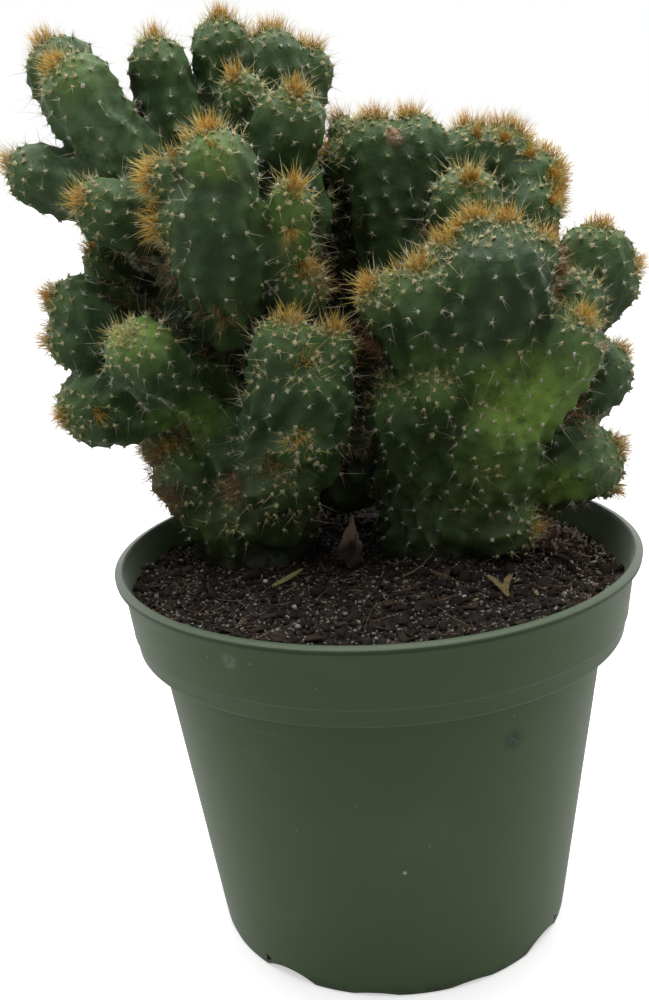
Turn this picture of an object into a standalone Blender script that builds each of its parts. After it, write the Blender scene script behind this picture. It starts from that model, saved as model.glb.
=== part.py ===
"""Potted crested Peruvian apple cactus: a nursery pot, its soil and two rooted crested stems.

Metres, +Z up. The origin is the centre of the pot's flat underside, on the pot's axis, and the
side that a viewer sees first faces -Y. Each stem is a clump of ribbed lobes that have grown
together, so it is one solid; its spines are rooted in it.
"""

import math
import random
from collections import namedtuple

import bmesh
import bpy
from mathutils import Matrix, Vector, noise
from mathutils.bvhtree import BVHTree

# Joints between pieces
GAP = 0.0003
SOIL_GAP = 0.00036
MERGE = 0.00005
WELD = 0.00001
MM = 0.001
SHARP_ANGLE = math.radians(40.0)

# Pot: a six-inch azalea pot with a rolled lip and a stepped band below it
POT_HEIGHT = 0.118
POT_SEGMENTS = 28
POT_WALL = 0.0014
POT_FLOOR = 0.0018
LIP_RADIUS = 0.0775
LIP_INNER_RADIUS = 0.0751
LIP_FALL = 0.0010
LIP_HEIGHT = 0.0024
BAND_TOP_RADIUS = 0.0759
BAND_RIDGE_RADIUS = 0.0736
BAND_RIDGE_DROP = 0.0183
BAND_RIDGE_STEP = 0.0005
BAND_BOTTOM_RADIUS = 0.0727
BAND_DROP = 0.0240
BAND_ROUND = 0.0012
WALL_TOP_RADIUS = 0.0668
WALL_BOTTOM_RADIUS = 0.0542
FOOT_ROUND = 0.0005
QUARTERS = 4
DRAIN_ANGLE = -126.0
DRAIN_WIDTH = 0.0185
DRAIN_HEIGHT = 0.0030
SCALLOP_ANGLES = (-97.0, -67.0)
SCALLOP_WIDTH = 0.0150
SCALLOP_HEIGHT = 0.0010
SLOT_TURN = 8.5
SLOT_RISE = 0.0030
SLOT_SIZE = 0.0016
SLOT_SIDES = 3
CUT_DEPTH = 0.006
ARCH_SEGMENTS = 28

# Soil
SOIL_TOP = 0.108
SOIL_SWELL = 0.0022
SOIL_ROUGHNESS = 0.0014
SOIL_GRID = 14
SOIL_MASK_RADIUS = 0.014
ROOT_MASK_WIDTH = 0.009
SOIL_MARGIN = 0.004
RELIEF_FLOOR = -0.01
HEAP_WAVES = (61.0, 48.0)
HEAP_SHIFTS = (0.6, -0.4)
CLOD_WAVES = 160.0
CLOD_SLICE = 0.3
HOLE_HEADROOM = 0.02
CRUMB_COUNT = 16
CRUMB_SIZES = (0.0016, 0.0030)
CRUMB_REACH = 0.064
CRUMB_WIDTHS = (0.6, 0.9)
CRUMB_FLATNESS = 0.6
CRUMB_RISE = 0.1
CRUMB_ROOT_MASK = 0.1
CRUMB_LITTER_MASK = 0.2

# Stems
ROOT_DEPTH = 0.011
ROOT_RISE = 0.012
ROOT_SEGMENTS = 32
LEFT_ROOT = (-0.037, 0.031)
LEFT_ROOT_RADIUS = 0.0200
RIGHT_ROOT = (0.022, 0.024)
RIGHT_ROOT_RADIUS = 0.0220
LEFT_SEED = 3
RIGHT_SEED = 5
CRUMB_SEED = 11
SOIL_CLEARANCE = 0.0012
STEM_CLEARANCE = 0.0020
RIM_CLEARANCE = 0.003
RIM_HEADROOM = 0.002
AXIS_BEND = 0.45
AXIS_STEP = 0.02
AXIS_SAMPLES = 8
RIB_DEPTH = 0.12
RIB_SPACING = 0.0088
FEWEST_RIBS = 5
AREOLE_SPACING = 0.0085
TUBERCLE_DEPTH = 0.06
CAP_ROWS = 2
BASE_OVERLAP = 0.35
UNEVENNESS = 0.05
SKIN_VOXEL = 0.0016
STEM_TRIANGLES = 3800

# Spines
SPINE_RADIUS = 0.0005
SPINE_ROOT = 0.0022
CROWN_LENGTHS = (0.0065, 0.0090)
CROWN_TILTS = (8.0, 62.0)
CROWN_START = 0.4
CROWN_TURN_PLAY = 0.3
CROWN_ROOT_SHARE = 0.8
CROWN_CLEARANCE = 0.002
FLANK_LENGTHS = (0.0040, 0.0060)
FLANK_LEANS = (-0.2, 0.8)
FLANK_STEP = 9
FLANK_CLEARANCE = 0.001
SPINE_REACH = 0.006
GOLDEN_ANGLE = math.radians(137.508)

# Dry leaf, which stands up in the cleft between the stems, and straw on the soil
LITTER_THICKNESS = 0.0008
BLADE_START = 0.12
BLADE_SPAN = 0.85
BLADE_FULLNESS = 0.7
BLADE_STEPS = 6
LEAF_STEPS = 7
LEAF_LENGTH = 0.015
LEAF_WIDTH = 0.009
LEAF_RISE = 0.0125
LEAF_TURN = 84.0
STRAW_LENGTH = 0.014
STRAW_WIDTH = 0.0030
STRAW_RISE = 0.001
STRAW_TURN = 52.0
SPLIT_LENGTH = 0.012
SPLIT_WIDTH = 0.0032
SPLIT_LEAN = 0.30
SPLIT_RISE = 0.002
SPLIT_TURN = 95.0

Lobe = namedtuple("Lobe", "name base base_radius tip tip_radius crown spines")

# Each lobe grows from a base point to a tip point, with the radius of its body at both, all in
# millimetres. The crown is the way its growing point looks, and the last value is the number of
# spines in its tuft.
LEFT_LOBES = (
    Lobe("trunk", (-39, 31, 114), 18, (-41, 31, 136), 20, (0, 0, 1), 0),
    Lobe("core", (-41, 32, 134), 19, (-43, 34, 179), 19, (0, 0, 1), 0),
    Lobe("high_core", (-43, 34, 179), 17, (-47, 36, 214), 17, (0, 0, 1), 0),
    Lobe("foot", (-46, 27, 121), 12, (-57, 22, 136), 11, (-0.5, -0.3, 0.8), 2),
    Lobe("dry_heel", (-51, 34, 138), 11, (-64, 32, 144), 8, (-0.9, -0.3, -0.1), 3),
    Lobe("lower_front", (-36, 20, 122), 15, (-27, 9, 138), 13, (0.3, -0.8, 0.5), 2),
    Lobe("front", (-25, 14, 140), 15, (-20, -2, 166), 15, (0.1, -0.7, 0.7), 2),
    Lobe("front_top_left", (-20, 0, 163), 13, (-22, -6, 178), 10, (0.1, -0.4, 0.9), 6),
    Lobe("front_top_right", (-16, 0, 162), 11, (-11, -1, 176), 8, (0.2, -0.4, 0.9), 5),
    Lobe("front_chin", (-20, 4, 153), 12, (-20, -6, 153), 9, (0, -1, 0.1), 5),
    Lobe("low_arm", (-45, 34, 158), 11, (-82, 20, 160), 12, (-0.8, -0.5, -0.1), 6),
    Lobe("green_tip", (-44, 28, 163), 11, (-60, 0, 178), 12, (-0.35, -0.85, 0.4), 5),
    Lobe("left_crest_top", (-56, 40, 170), 12, (-86, 26, 189), 10, (-0.8, -0.3, 0.5), 6),
    Lobe("left_crest_low", (-56, 38, 168), 11, (-87, 24, 180), 9, (-0.9, -0.3, 0.1), 4),
    Lobe("left_nub", (-62, 48, 185), 8, (-81, 44, 201), 6, (-0.5, -0.1, 0.9), 5),
    Lobe("far_arm", (-63, 36, 219), 10, (-94, 30, 229), 9, (-0.9, -0.2, 0.4), 6),
    Lobe("small_arm", (-58, 26, 213), 10, (-72, 12, 219), 9, (-0.6, -0.7, 0.4), 5),
    Lobe("tall_left_front", (-59, 34, 215), 12, (-79, 28, 250), 11, (-0.4, -0.4, 0.8), 6),
    Lobe("tall_left_back", (-61, 44, 218), 12, (-87, 44, 258), 10, (-0.4, -0.1, 0.9), 7),
    Lobe("tall_mid", (-53, 44, 220), 12, (-58, 46, 257), 9, (-0.1, -0.1, 1), 6),
    Lobe("top_left", (-39, 48, 220), 13, (-39, 56, 262), 9, (0, -0.2, 1), 7),
    Lobe("top_mid", (-32, 48, 220), 13, (-24, 54, 255), 11, (0, 0, 1), 8),
    Lobe("top_right", (-27, 52, 232), 11, (-13, 58, 254), 7, (0.3, 0, 1), 6),
    Lobe("nub_left", (-32, 40, 232), 9, (-32, 30, 248), 6, (-0.1, -0.6, 0.8), 5),
    Lobe("nub_right", (-27, 36, 222), 10, (-19, 24, 239), 10, (0.3, -0.5, 0.8), 6),
    Lobe("shade_body", (-31, 36, 187), 16, (-23, 34, 221), 12, (0.2, 0, 1), 0),
    Lobe("big_front", (-37, 18, 184), 13, (-40, 2, 216), 14, (0, -0.3, 1), 0),
    Lobe("big_front_top", (-39, 6, 209), 14, (-38, 0, 228), 10, (-0.1, -0.2, 1), 8),
    Lobe("big_front_side", (-45, 8, 210), 10, (-51, 4, 226), 7, (-0.9, -0.4, 0.3), 6),
    Lobe("big_front_edge", (-44, 8, 206), 10, (-50, 2, 215), 7, (-0.9, -0.5, -0.1), 5),
    Lobe("ear", (-29, 14, 197), 9, (-19, 2, 217), 7, (0.2, -0.6, 0.8), 6),
    Lobe("under_ear", (-22, 24, 175), 9, (-18, 10, 192), 8, (0.3, -0.6, 0.7), 4),
    Lobe("back_high", (-40, 48, 196), 13, (-50, 76, 230), 11, (-0.2, 0.5, 0.8), 6),
    Lobe("back_side", (-46, 46, 172), 13, (-76, 66, 196), 11, (-0.6, 0.5, 0.6), 6),
    Lobe("back_mid", (-38, 46, 150), 14, (-46, 80, 168), 12, (-0.2, 0.8, 0.5), 6),
    Lobe("back_low", (-40, 42, 132), 13, (-61, 66, 142), 11, (-0.5, 0.8, 0.2), 6),
    Lobe("back_inner", (-32, 48, 182), 12, (-31, 76, 213), 10, (0.2, 0.6, 0.7), 6),
)
RIGHT_LOBES = (
    Lobe("trunk", (22, 25, 114), 21, (23, 26, 134), 22, (0, 0, 1), 0),
    Lobe("core", (23, 26, 132), 21, (26, 28, 160), 20, (0, 0, 1), 0),
    Lobe("high_core", (24, 34, 153), 18, (25, 44, 189), 18, (0, 0, 1), 0),
    Lobe("apron", (30, 15, 117), 15, (36, 3, 150), 14, (0.1, -0.5, 0.9), 0),
    Lobe("foot", (26, 18, 119), 11, (38, 6, 120), 10, (0.8, -0.5, 0), 2),
    Lobe("knee", (18, 20, 134), 14, (11, 8, 156), 12, (-0.3, -0.6, 0.7), 1),
    Lobe("pup", (21, 10, 152), 11, (20, -3, 164), 7, (0, -0.8, 0.6), 1),
    Lobe("low_arm", (40, 26, 134), 13, (64, 14, 136), 12, (0.8, -0.3, 0.4), 6),
    Lobe("low_arm_rib", (56, 18, 132), 9, (70, 12, 129), 4, (0.9, -0.2, -0.4), 3),
    Lobe("back_arm", (48, 40, 138), 13, (70, 34, 158), 12, (0.8, 0, 0.6), 6),
    Lobe("bright_arm", (36, 12, 149), 15, (56, -6, 175), 10, (0.4, -0.4, 0.8), 6),
    Lobe("bright_mid", (24, 14, 148), 16, (33, 2, 177), 15, (0, -0.9, 0.4), 0),
    Lobe("front_crest", (32, 8, 170), 16, (37, -4, 194), 15, (0, -0.2, 1), 0),
    Lobe("crest_outer_left", (31, 6, 188), 10, (25, 0, 199), 7, (-0.3, -0.2, 0.9), 6),
    Lobe("crest_inner_left", (35, 6, 188), 10, (33, -2, 204), 7, (-0.1, -0.2, 1), 6),
    Lobe("crest_inner_right", (39, 6, 187), 10, (41, -2, 203), 7, (0, -0.2, 1), 6),
    Lobe("crest_outer_right", (42, 6, 187), 10, (48, 0, 199), 7, (0.4, -0.2, 0.9), 6),
    Lobe("shoulder_left", (22, 12, 167), 12, (8, 1, 188), 9, (-0.6, -0.4, 0.7), 7),
    Lobe("shoulder_mid", (22, 8, 173), 12, (17, -4, 190), 10, (-0.1, -0.4, 0.9), 6),
    Lobe("right_arm", (51, 30, 174), 14, (68, 18, 194), 11, (0.1, -0.2, 1), 7),
    Lobe("right_tip", (58, 26, 177), 10, (72, 20, 188), 9, (0.8, -0.1, 0.5), 6),
    Lobe("column_left", (13, 46, 187), 13, (7, 44, 228), 11, (-0.1, -0.1, 1), 9),
    Lobe("column_right", (16, 50, 189), 13, (18, 48, 228), 11, (0, 0, 1), 9),
    Lobe("column_shade", (3, 60, 180), 12, (-5, 60, 216), 10, (-0.2, 0, 1), 4),
    Lobe("nub_high", (4, 50, 224), 7, (-3, 50, 235), 5, (-0.3, -0.2, 0.9), 4),
    Lobe("nub_low", (3, 46, 219), 7, (-6, 46, 228), 5, (-0.6, -0.6, 0.4), 3),
    Lobe("ridge_left", (38, 50, 188), 15, (36, 50, 224), 11, (-0.2, 0, 1), 6),
    Lobe("ridge_mid", (44, 50, 187), 15, (45, 50, 223), 11, (0, 0, 1), 6),
    Lobe("ridge_right", (47, 48, 187), 15, (53, 46, 216), 11, (0.5, 0, 0.9), 6),
    Lobe("ridge_end", (48, 42, 182), 14, (52, 36, 208), 9, (0.9, 0, 0.4), 6),
    Lobe("ridge_front", (31, 34, 188), 12, (32, 22, 213), 10, (0, -0.7, 0.7), 7),
    Lobe("back_column", (5, 46, 124), 15, (-6, 64, 166), 14, (-0.2, 0.3, 0.9), 5),
    Lobe("back_bridge", (10, 54, 156), 13, (-4, 66, 192), 12, (-0.2, 0.2, 0.9), 3),
    Lobe("back_high", (32, 52, 186), 14, (36, 78, 216), 12, (0.2, 0.6, 0.8), 6),
    Lobe("back_side", (42, 48, 156), 14, (64, 70, 180), 12, (0.6, 0.6, 0.6), 6),
    Lobe("back_mid", (26, 46, 146), 14, (28, 78, 162), 12, (0, 0.9, 0.4), 6),
    Lobe("back_low", (38, 38, 130), 13, (58, 60, 136), 11, (0.6, 0.7, 0.1), 6),
    Lobe("back_top", (18, 56, 192), 13, (-6, 80, 222), 10, (-0.4, 0.5, 0.8), 6),
)

# Places of the leaf scrap, the straw blade and the split straw on the soil, and the way they point
LEAF_PLACE = (-0.0085, 0.003)
BLADE_PLACE = (-0.031, -0.010)
SPLIT_PLACE = (0.036, -0.027)
LITTER_PLACES = (LEAF_PLACE, BLADE_PLACE, SPLIT_PLACE)


def clear_scene():
    """Remove every object of the open scene."""
    for old in list(bpy.data.objects):
        bpy.data.objects.remove(old, do_unlink=True)


def make_collection(name):
    """Return a new collection in the scene."""
    collection = bpy.data.collections.new(name)
    bpy.context.scene.collection.children.link(collection)
    return collection


def make_material(name, colour, roughness, metallic=0.0):
    """Return a Principled BSDF material."""
    material = bpy.data.materials.new(name)
    material.use_nodes = True
    shader = material.node_tree.nodes["Principled BSDF"]
    shader.inputs["Base Color"].default_value = (*colour, 1.0)
    shader.inputs["Roughness"].default_value = roughness
    shader.inputs["Metallic"].default_value = metallic
    return material


def object_from(bm, name, collection, material=None):
    """Turn a bmesh into a named object with outward normals."""
    bmesh.ops.recalc_face_normals(bm, faces=bm.faces)
    mesh = bpy.data.meshes.new(name)
    bm.to_mesh(mesh)
    bm.free()
    made = bpy.data.objects.new(name, mesh)
    collection.objects.link(made)
    if material:
        mesh.materials.append(material)
    return made


def shade_round(target):
    """Shade a mesh smooth, with its sharp edges kept."""
    target.data.shade_smooth()
    target.data.set_sharp_from_angle(angle=SHARP_ANGLE)


def apply_modifiers(target):
    """Bake the modifiers of an object into its mesh."""
    graph = bpy.context.evaluated_depsgraph_get()
    baked = bpy.data.meshes.new_from_object(target.evaluated_get(graph))
    target.modifiers.clear()
    target.data = baked


def join_collection(target, collection):
    """Union every object of a collection into the target, then remove them."""
    union = target.modifiers.new("grown together", "BOOLEAN")
    union.operation = "UNION"
    union.operand_type = "COLLECTION"
    union.collection = collection
    union.solver = "MANIFOLD"
    apply_modifiers(target)
    for operand in list(collection.objects):
        bpy.data.objects.remove(operand, do_unlink=True)


def keep_outer_skin(target):
    """Drop the small shells that lobes close around, so that the flesh is solid all through."""
    bm = bmesh.new()
    bm.from_mesh(target.data)
    waiting = set(bm.verts)
    shells = []
    while waiting:
        reached = [waiting.pop()]
        for vertex in reached:
            for edge in vertex.link_edges:
                neighbour = edge.other_vert(vertex)
                if neighbour in waiting:
                    waiting.remove(neighbour)
                    reached.append(neighbour)
        shells.append(reached)
    shells.sort(key=len)
    for shell in shells[:-1]:
        bmesh.ops.delete(bm, geom=shell, context="VERTS")
    bm.to_mesh(target.data)
    bm.free()


def blend_seams(target):
    """Round the seams between lobes and keep the triangles that show the ribs."""
    skin = target.modifiers.new("one skin", "REMESH")
    skin.mode = "VOXEL"
    skin.voxel_size = SKIN_VOXEL
    apply_modifiers(target)
    keep_outer_skin(target)
    target.data.calc_loop_triangles()
    collapse = target.modifiers.new("fewer triangles", "DECIMATE")
    collapse.ratio = STEM_TRIANGLES / len(target.data.loop_triangles)
    collapse.use_collapse_triangulate = True
    apply_modifiers(target)


def cut(target, cutter, operation="DIFFERENCE"):
    """Cut the target with one closed mesh."""
    modifier = target.modifiers.new(cutter.name, "BOOLEAN")
    modifier.operation = operation
    modifier.object = cutter
    modifier.solver = "EXACT"
    cutter.hide_render = True
    cutter.display_type = "WIRE"


def turned(name, profile, collection, material):
    """Turn a profile of (radius, height) points, outer side running down, into a solid."""
    bm = bmesh.new()
    points = [bm.verts.new((radius, 0.0, height)) for radius, height in profile]
    for first, second in zip(points, points[1:]):
        bm.edges.new((first, second))
    mesh = bpy.data.meshes.new(name)
    bm.to_mesh(mesh)
    bm.free()
    made = bpy.data.objects.new(name, mesh)
    collection.objects.link(made)
    mesh.materials.append(material)
    screw = made.modifiers.new("turn", "SCREW")
    screw.axis = "Z"
    screw.steps = POT_SEGMENTS
    screw.render_steps = POT_SEGMENTS
    screw.use_merge_vertices = True
    screw.merge_threshold = MERGE
    return made


def arc(centre, radius, start, end, steps):
    """Points of an arc in the profile plane, angles in degrees."""
    points = []
    for step in range(steps + 1):
        angle = math.radians(start + (end - start) * step / steps)
        points.append((centre[0] + radius * math.cos(angle), centre[1] + radius * math.sin(angle)))
    return points


def wall_radius(height):
    """Outer radius of the plain wall below the band."""
    share = height / (POT_HEIGHT - BAND_DROP)
    return WALL_BOTTOM_RADIUS + (WALL_TOP_RADIUS - WALL_BOTTOM_RADIUS) * share


def inner_profile(offset):
    """The pot's inside from the floor's centre to the lip, moved inwards by an offset."""
    step = POT_HEIGHT - BAND_DROP
    floor = POT_FLOOR + offset
    corner = wall_radius(POT_FLOOR) - POT_WALL - offset
    return [
        (0.0, floor),
        (corner - FOOT_ROUND, floor),
        (corner, floor + FOOT_ROUND),
        (WALL_TOP_RADIUS - POT_WALL - offset, step - POT_WALL),
        (BAND_BOTTOM_RADIUS - POT_WALL - offset, step + POT_WALL),
        (BAND_TOP_RADIUS - POT_WALL - offset, POT_HEIGHT - LIP_HEIGHT),
    ]


def radial_cutter(name, segments, radius, degrees, height, collection):
    """A prism that lies along a radius of the pot and crosses its wall near the foot."""
    bm = bmesh.new()
    bmesh.ops.create_cone(bm, cap_ends=True, segments=segments, radius1=radius, radius2=radius,
                          depth=2 * CUT_DEPTH)
    across = Matrix.Rotation(math.radians(90.0), 4, "Y")
    place = Matrix.Translation((WALL_BOTTOM_RADIUS, 0.0, height))
    turn = Matrix.Rotation(math.radians(degrees), 4, "Z")
    bmesh.ops.transform(bm, matrix=turn @ place @ across, verts=bm.verts)
    return object_from(bm, name, collection)


def cut_arch(pot, name, degrees, width, height, collection):
    """Cut a flat arch of a width and a height out of the foot's edge."""
    radius = (width ** 2 / 4 + height ** 2) / (2 * height)
    cut(pot, radial_cutter(name, ARCH_SEGMENTS, radius, degrees, height - radius, collection))


def build_pot(collection, cutters, material):
    """Turn the pot, then cut the drains and the scallops of its foot."""
    top = POT_HEIGHT
    lip_low = top - LIP_HEIGHT
    ridge = top - BAND_RIDGE_DROP
    step = top - BAND_DROP
    profile = inner_profile(0.0)
    profile += [
        (LIP_INNER_RADIUS, top),
        (LIP_INNER_RADIUS + LIP_FALL, top),
        (LIP_RADIUS, top - LIP_FALL),
        (LIP_RADIUS, lip_low + LIP_FALL / 2),
        (BAND_TOP_RADIUS, lip_low),
        (BAND_RIDGE_RADIUS, ridge + BAND_RIDGE_STEP),
        (BAND_RIDGE_RADIUS + BAND_RIDGE_STEP, ridge),
        (BAND_RIDGE_RADIUS - BAND_RIDGE_STEP, ridge - BAND_RIDGE_STEP),
    ]
    profile += arc((BAND_BOTTOM_RADIUS - BAND_ROUND, step + BAND_ROUND), BAND_ROUND, 0.0, -90.0, 2)
    profile.append((WALL_TOP_RADIUS, step - BAND_ROUND / 2))
    profile += arc((WALL_BOTTOM_RADIUS - FOOT_ROUND, FOOT_ROUND), FOOT_ROUND, 0.0, -90.0, 1)
    profile.append((0.0, 0.0))
    pot = turned("pot", profile, collection, material)

    for quarter in range(QUARTERS):
        turn = 360.0 / QUARTERS * quarter
        drain = DRAIN_ANGLE + turn
        side = -1.0 if quarter % 2 == 0 else 1.0
        slot = drain + side * SLOT_TURN
        cut_arch(pot, f"drain_{quarter}", drain, DRAIN_WIDTH, DRAIN_HEIGHT, cutters)
        cut(pot, radial_cutter(f"slot_{quarter}", SLOT_SIDES, SLOT_SIZE, slot, SLOT_RISE, cutters))
        for number, degrees in enumerate(SCALLOP_ANGLES):
            cut_arch(pot, f"scallop_{quarter}_{number}", degrees + turn, SCALLOP_WIDTH, SCALLOP_HEIGHT,
                     cutters)
    return pot


def litter_mask(x, y):
    """0 beside a piece of litter, rising to 1 away from it."""
    nearest = min(math.hypot(x - place[0], y - place[1]) for place in LITTER_PLACES)
    return min(max(nearest / SOIL_MASK_RADIUS - 1.0, 0.0), 1.0)


def root_gap(x, y):
    """Distance to the nearer stem's root."""
    left = math.hypot(x - LEFT_ROOT[0], y - LEFT_ROOT[1]) - LEFT_ROOT_RADIUS
    right = math.hypot(x - RIGHT_ROOT[0], y - RIGHT_ROOT[1]) - RIGHT_ROOT_RADIUS
    return min(left, right)


def root_mask(x, y):
    """0 beside a stem's root, rising to 1 away from it."""
    return min(max(root_gap(x, y) / ROOT_MASK_WIDTH - 1.0, 0.0), 1.0)


def soil_height(x, y):
    """Height of the soil: low heaps with clods, level beside the litter and the roots."""
    across = math.sin(x * HEAP_WAVES[0] + HEAP_SHIFTS[0])
    heap = SOIL_SWELL * across * math.cos(y * HEAP_WAVES[1] + HEAP_SHIFTS[1])
    clods = SOIL_ROUGHNESS * noise.noise(Vector((x, y, CLOD_SLICE)) * CLOD_WAVES)
    return SOIL_TOP + litter_mask(x, y) * root_mask(x, y) * (heap + clods)


def build_soil(collection, cutters, crumbs, material):
    """Turn the soil to the pot's inside, shape its top, cut the stems' holes, add the crumbs."""
    profile = inner_profile(SOIL_GAP)
    profile.append((0.0, POT_HEIGHT - LIP_HEIGHT))
    soil = turned("soil", profile, collection, material)

    bm = bmesh.new()
    reach = LIP_RADIUS + SOIL_MARGIN
    bmesh.ops.create_grid(bm, x_segments=SOIL_GRID, y_segments=SOIL_GRID, size=reach)
    for vertex in bm.verts:
        vertex.co.z = soil_height(vertex.co.x, vertex.co.y)
    sheet = list(bm.faces)
    lower = bmesh.ops.extrude_face_region(bm, geom=sheet)
    for item in lower["geom"]:
        if isinstance(item, bmesh.types.BMVert):
            item.co.z = RELIEF_FLOOR
    cut(soil, object_from(bm, "soil_relief", cutters), "INTERSECT")

    for name, place, radius in (("left_hole", LEFT_ROOT, LEFT_ROOT_RADIUS),
                                ("right_hole", RIGHT_ROOT, RIGHT_ROOT_RADIUS)):
        bm = bmesh.new()
        depth = ROOT_DEPTH + GAP + HOLE_HEADROOM
        bmesh.ops.create_cone(bm, cap_ends=True, segments=ROOT_SEGMENTS, radius1=radius + SOIL_GAP,
                              radius2=radius + SOIL_GAP, depth=depth)
        middle = SOIL_TOP - ROOT_DEPTH - GAP + depth / 2
        bmesh.ops.translate(bm, vec=(place[0], place[1], middle), verts=bm.verts)
        cut(soil, object_from(bm, name, cutters))
    apply_modifiers(soil)

    chance = random.Random(CRUMB_SEED)
    made = 0
    while made < CRUMB_COUNT:
        angle = chance.uniform(0.0, 2 * math.pi)
        distance = CRUMB_REACH * math.sqrt(chance.random())
        x = distance * math.cos(angle)
        y = distance * math.sin(angle)
        size = chance.uniform(*CRUMB_SIZES)
        spin = chance.uniform(0.0, math.pi)
        if root_mask(x, y) < CRUMB_ROOT_MASK or litter_mask(x, y) < CRUMB_LITTER_MASK:
            continue
        bm = bmesh.new()
        bmesh.ops.create_icosphere(bm, subdivisions=1, radius=size)
        squash = Matrix.Diagonal((1.0, chance.uniform(*CRUMB_WIDTHS), CRUMB_FLATNESS, 1.0))
        place = Matrix.Translation((x, y, soil_height(x, y) + size * CRUMB_RISE))
        bmesh.ops.transform(bm, matrix=place @ Matrix.Rotation(spin, 4, "Z") @ squash, verts=bm.verts)
        object_from(bm, f"crumb_{made}", crumbs)
        made += 1
    join_collection(soil, crumbs)
    shade_round(soil)
    return soil


def in_metres(lobe):
    """The lobe with its lengths in metres, and its crown's way as a unit vector."""
    return lobe._replace(base=Vector(lobe.base) * MM, base_radius=lobe.base_radius * MM,
                         tip=Vector(lobe.tip) * MM, tip_radius=lobe.tip_radius * MM,
                         crown=Vector(lobe.crown).normalized())


def lobe_length(lobe):
    """Distance from a lobe's base to its tip."""
    return (lobe.tip - lobe.base).length


def axis_point(lobe, share):
    """Point of a lobe's curved axis at a share of its way from base to tip."""
    bend = lobe.tip - lobe.crown * lobe_length(lobe) * AXIS_BEND
    return lobe.base * (1 - share) ** 2 + bend * 2 * share * (1 - share) + lobe.tip * share ** 2


def axis_direction(lobe, share):
    """Unit direction of a lobe's axis at a share of its way."""
    ahead = axis_point(lobe, min(share + AXIS_STEP, 1.0))
    behind = axis_point(lobe, max(share - AXIS_STEP, 0.0))
    return (ahead - behind).normalized()


def body_radius(lobe, share):
    """Mean radius of a lobe's body at a share of its way."""
    ease = share * share * (3 - 2 * share)
    return lobe.base_radius + (lobe.tip_radius - lobe.base_radius) * ease


def rib_count(lobe):
    """Ribs that fit around the lobe at its own spacing."""
    around = math.pi * (lobe.base_radius + lobe.tip_radius)
    return max(FEWEST_RIBS, round(around / RIB_SPACING))


def lobe_frame(lobe, share):
    """The axis direction and the two directions across it."""
    along = axis_direction(lobe, share)
    chord = (lobe.tip - lobe.base).normalized()
    across = min((Vector((1, 0, 0)), Vector((0, 1, 0)), Vector((0, 0, 1))),
                 key=lambda axis: abs(chord.dot(axis)))
    side = across.cross(along).normalized()
    return along, side, along.cross(side)


def skin_point(lobe, walk, turn, phase):
    """Point of the ribbed skin, a walk from the base along the body and over the tip's round."""
    length = lobe_length(lobe)
    share = min(max(walk / length, 0.0), 1.0)
    over = max(walk - length, 0.0) / lobe.tip_radius
    under = max(-walk, 0.0) / lobe.base_radius
    along, side, up = lobe_frame(lobe, share)
    radius = body_radius(lobe, share)
    centre = axis_point(lobe, share)
    rib = math.cos(rib_count(lobe) * (turn - phase))
    tubercle = math.cos(2 * math.pi * (walk - length) / AREOLE_SPACING)
    relief = 1.0 + RIB_DEPTH * rib * max(math.cos(over), 0.0)
    relief += TUBERCLE_DEPTH * tubercle * max(rib, 0.0)
    reach = radius * relief
    if over > 0.0:
        centre = centre + along * reach * math.sin(over)
        reach *= math.cos(over)
    if under > 0.0:
        centre = centre - along * radius * BASE_OVERLAP
        reach *= max(1.0 - under, 0.0)
    return centre + (side * math.cos(turn) + up * math.sin(turn)) * reach


def lobe_phase(lobe, seed):
    """The turn of a lobe's ribs, its own but the same each time."""
    return random.Random(f"{seed}{lobe.name}").uniform(0.0, 2 * math.pi)


def build_lobe(lobe, seed, collection):
    """Shape a sphere's rows and columns into the lobe's ribbed skin."""
    ribs = rib_count(lobe)
    phase = lobe_phase(lobe, seed)
    chance = random.Random(f"{lobe.name}{seed}")
    length = lobe_length(lobe)
    body_rows = max(2, round(2 * length / AREOLE_SPACING))
    rows = CAP_ROWS + 1 + body_rows + 1
    columns = 2 * ribs
    bm = bmesh.new()
    bmesh.ops.create_uvsphere(bm, u_segments=columns, v_segments=rows, radius=1.0)
    for vertex in bm.verts:
        row = round(math.acos(max(-1.0, min(1.0, vertex.co.z))) / math.pi * rows)
        column = round(math.atan2(vertex.co.y, vertex.co.x) / (2 * math.pi) * columns)
        turn = phase + 2 * math.pi * column / columns
        if row <= CAP_ROWS + 1:
            over = (CAP_ROWS + 1 - row) / (CAP_ROWS + 1) * math.pi / 2
            walk = length + over * lobe.tip_radius
        elif row < rows:
            walk = length * (1.0 - (row - CAP_ROWS - 1) / body_rows)
        else:
            walk = -lobe.base_radius
        point = skin_point(lobe, walk, turn, phase)
        if 0 < row < rows:
            centre = axis_point(lobe, min(max(walk / length, 0.0), 1.0))
            point += (point - centre) * chance.uniform(-UNEVENNESS, UNEVENNESS)
        vertex.co = point
    return object_from(bm, f"lobe_{lobe.name}", collection)


def build_root(place, radius, collection):
    """The plain round underground end of a stem."""
    bm = bmesh.new()
    bmesh.ops.create_cone(bm, cap_ends=True, segments=ROOT_SEGMENTS, radius1=radius,
                          radius2=radius, depth=ROOT_DEPTH + ROOT_RISE)
    middle = SOIL_TOP + (ROOT_RISE - ROOT_DEPTH) / 2
    bmesh.ops.translate(bm, vec=(place[0], place[1], middle), verts=bm.verts)
    return object_from(bm, "root", collection)


def depth_in(lobes, point):
    """How deep a point lies inside a clump of lobes, negative outside."""
    deepest = -1.0
    for lobe in lobes:
        for step in range(AXIS_SAMPLES + 1):
            share = step / AXIS_SAMPLES
            depth = body_radius(lobe, share) - (point - axis_point(lobe, share)).length
            deepest = max(deepest, depth)
    return deepest


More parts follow.
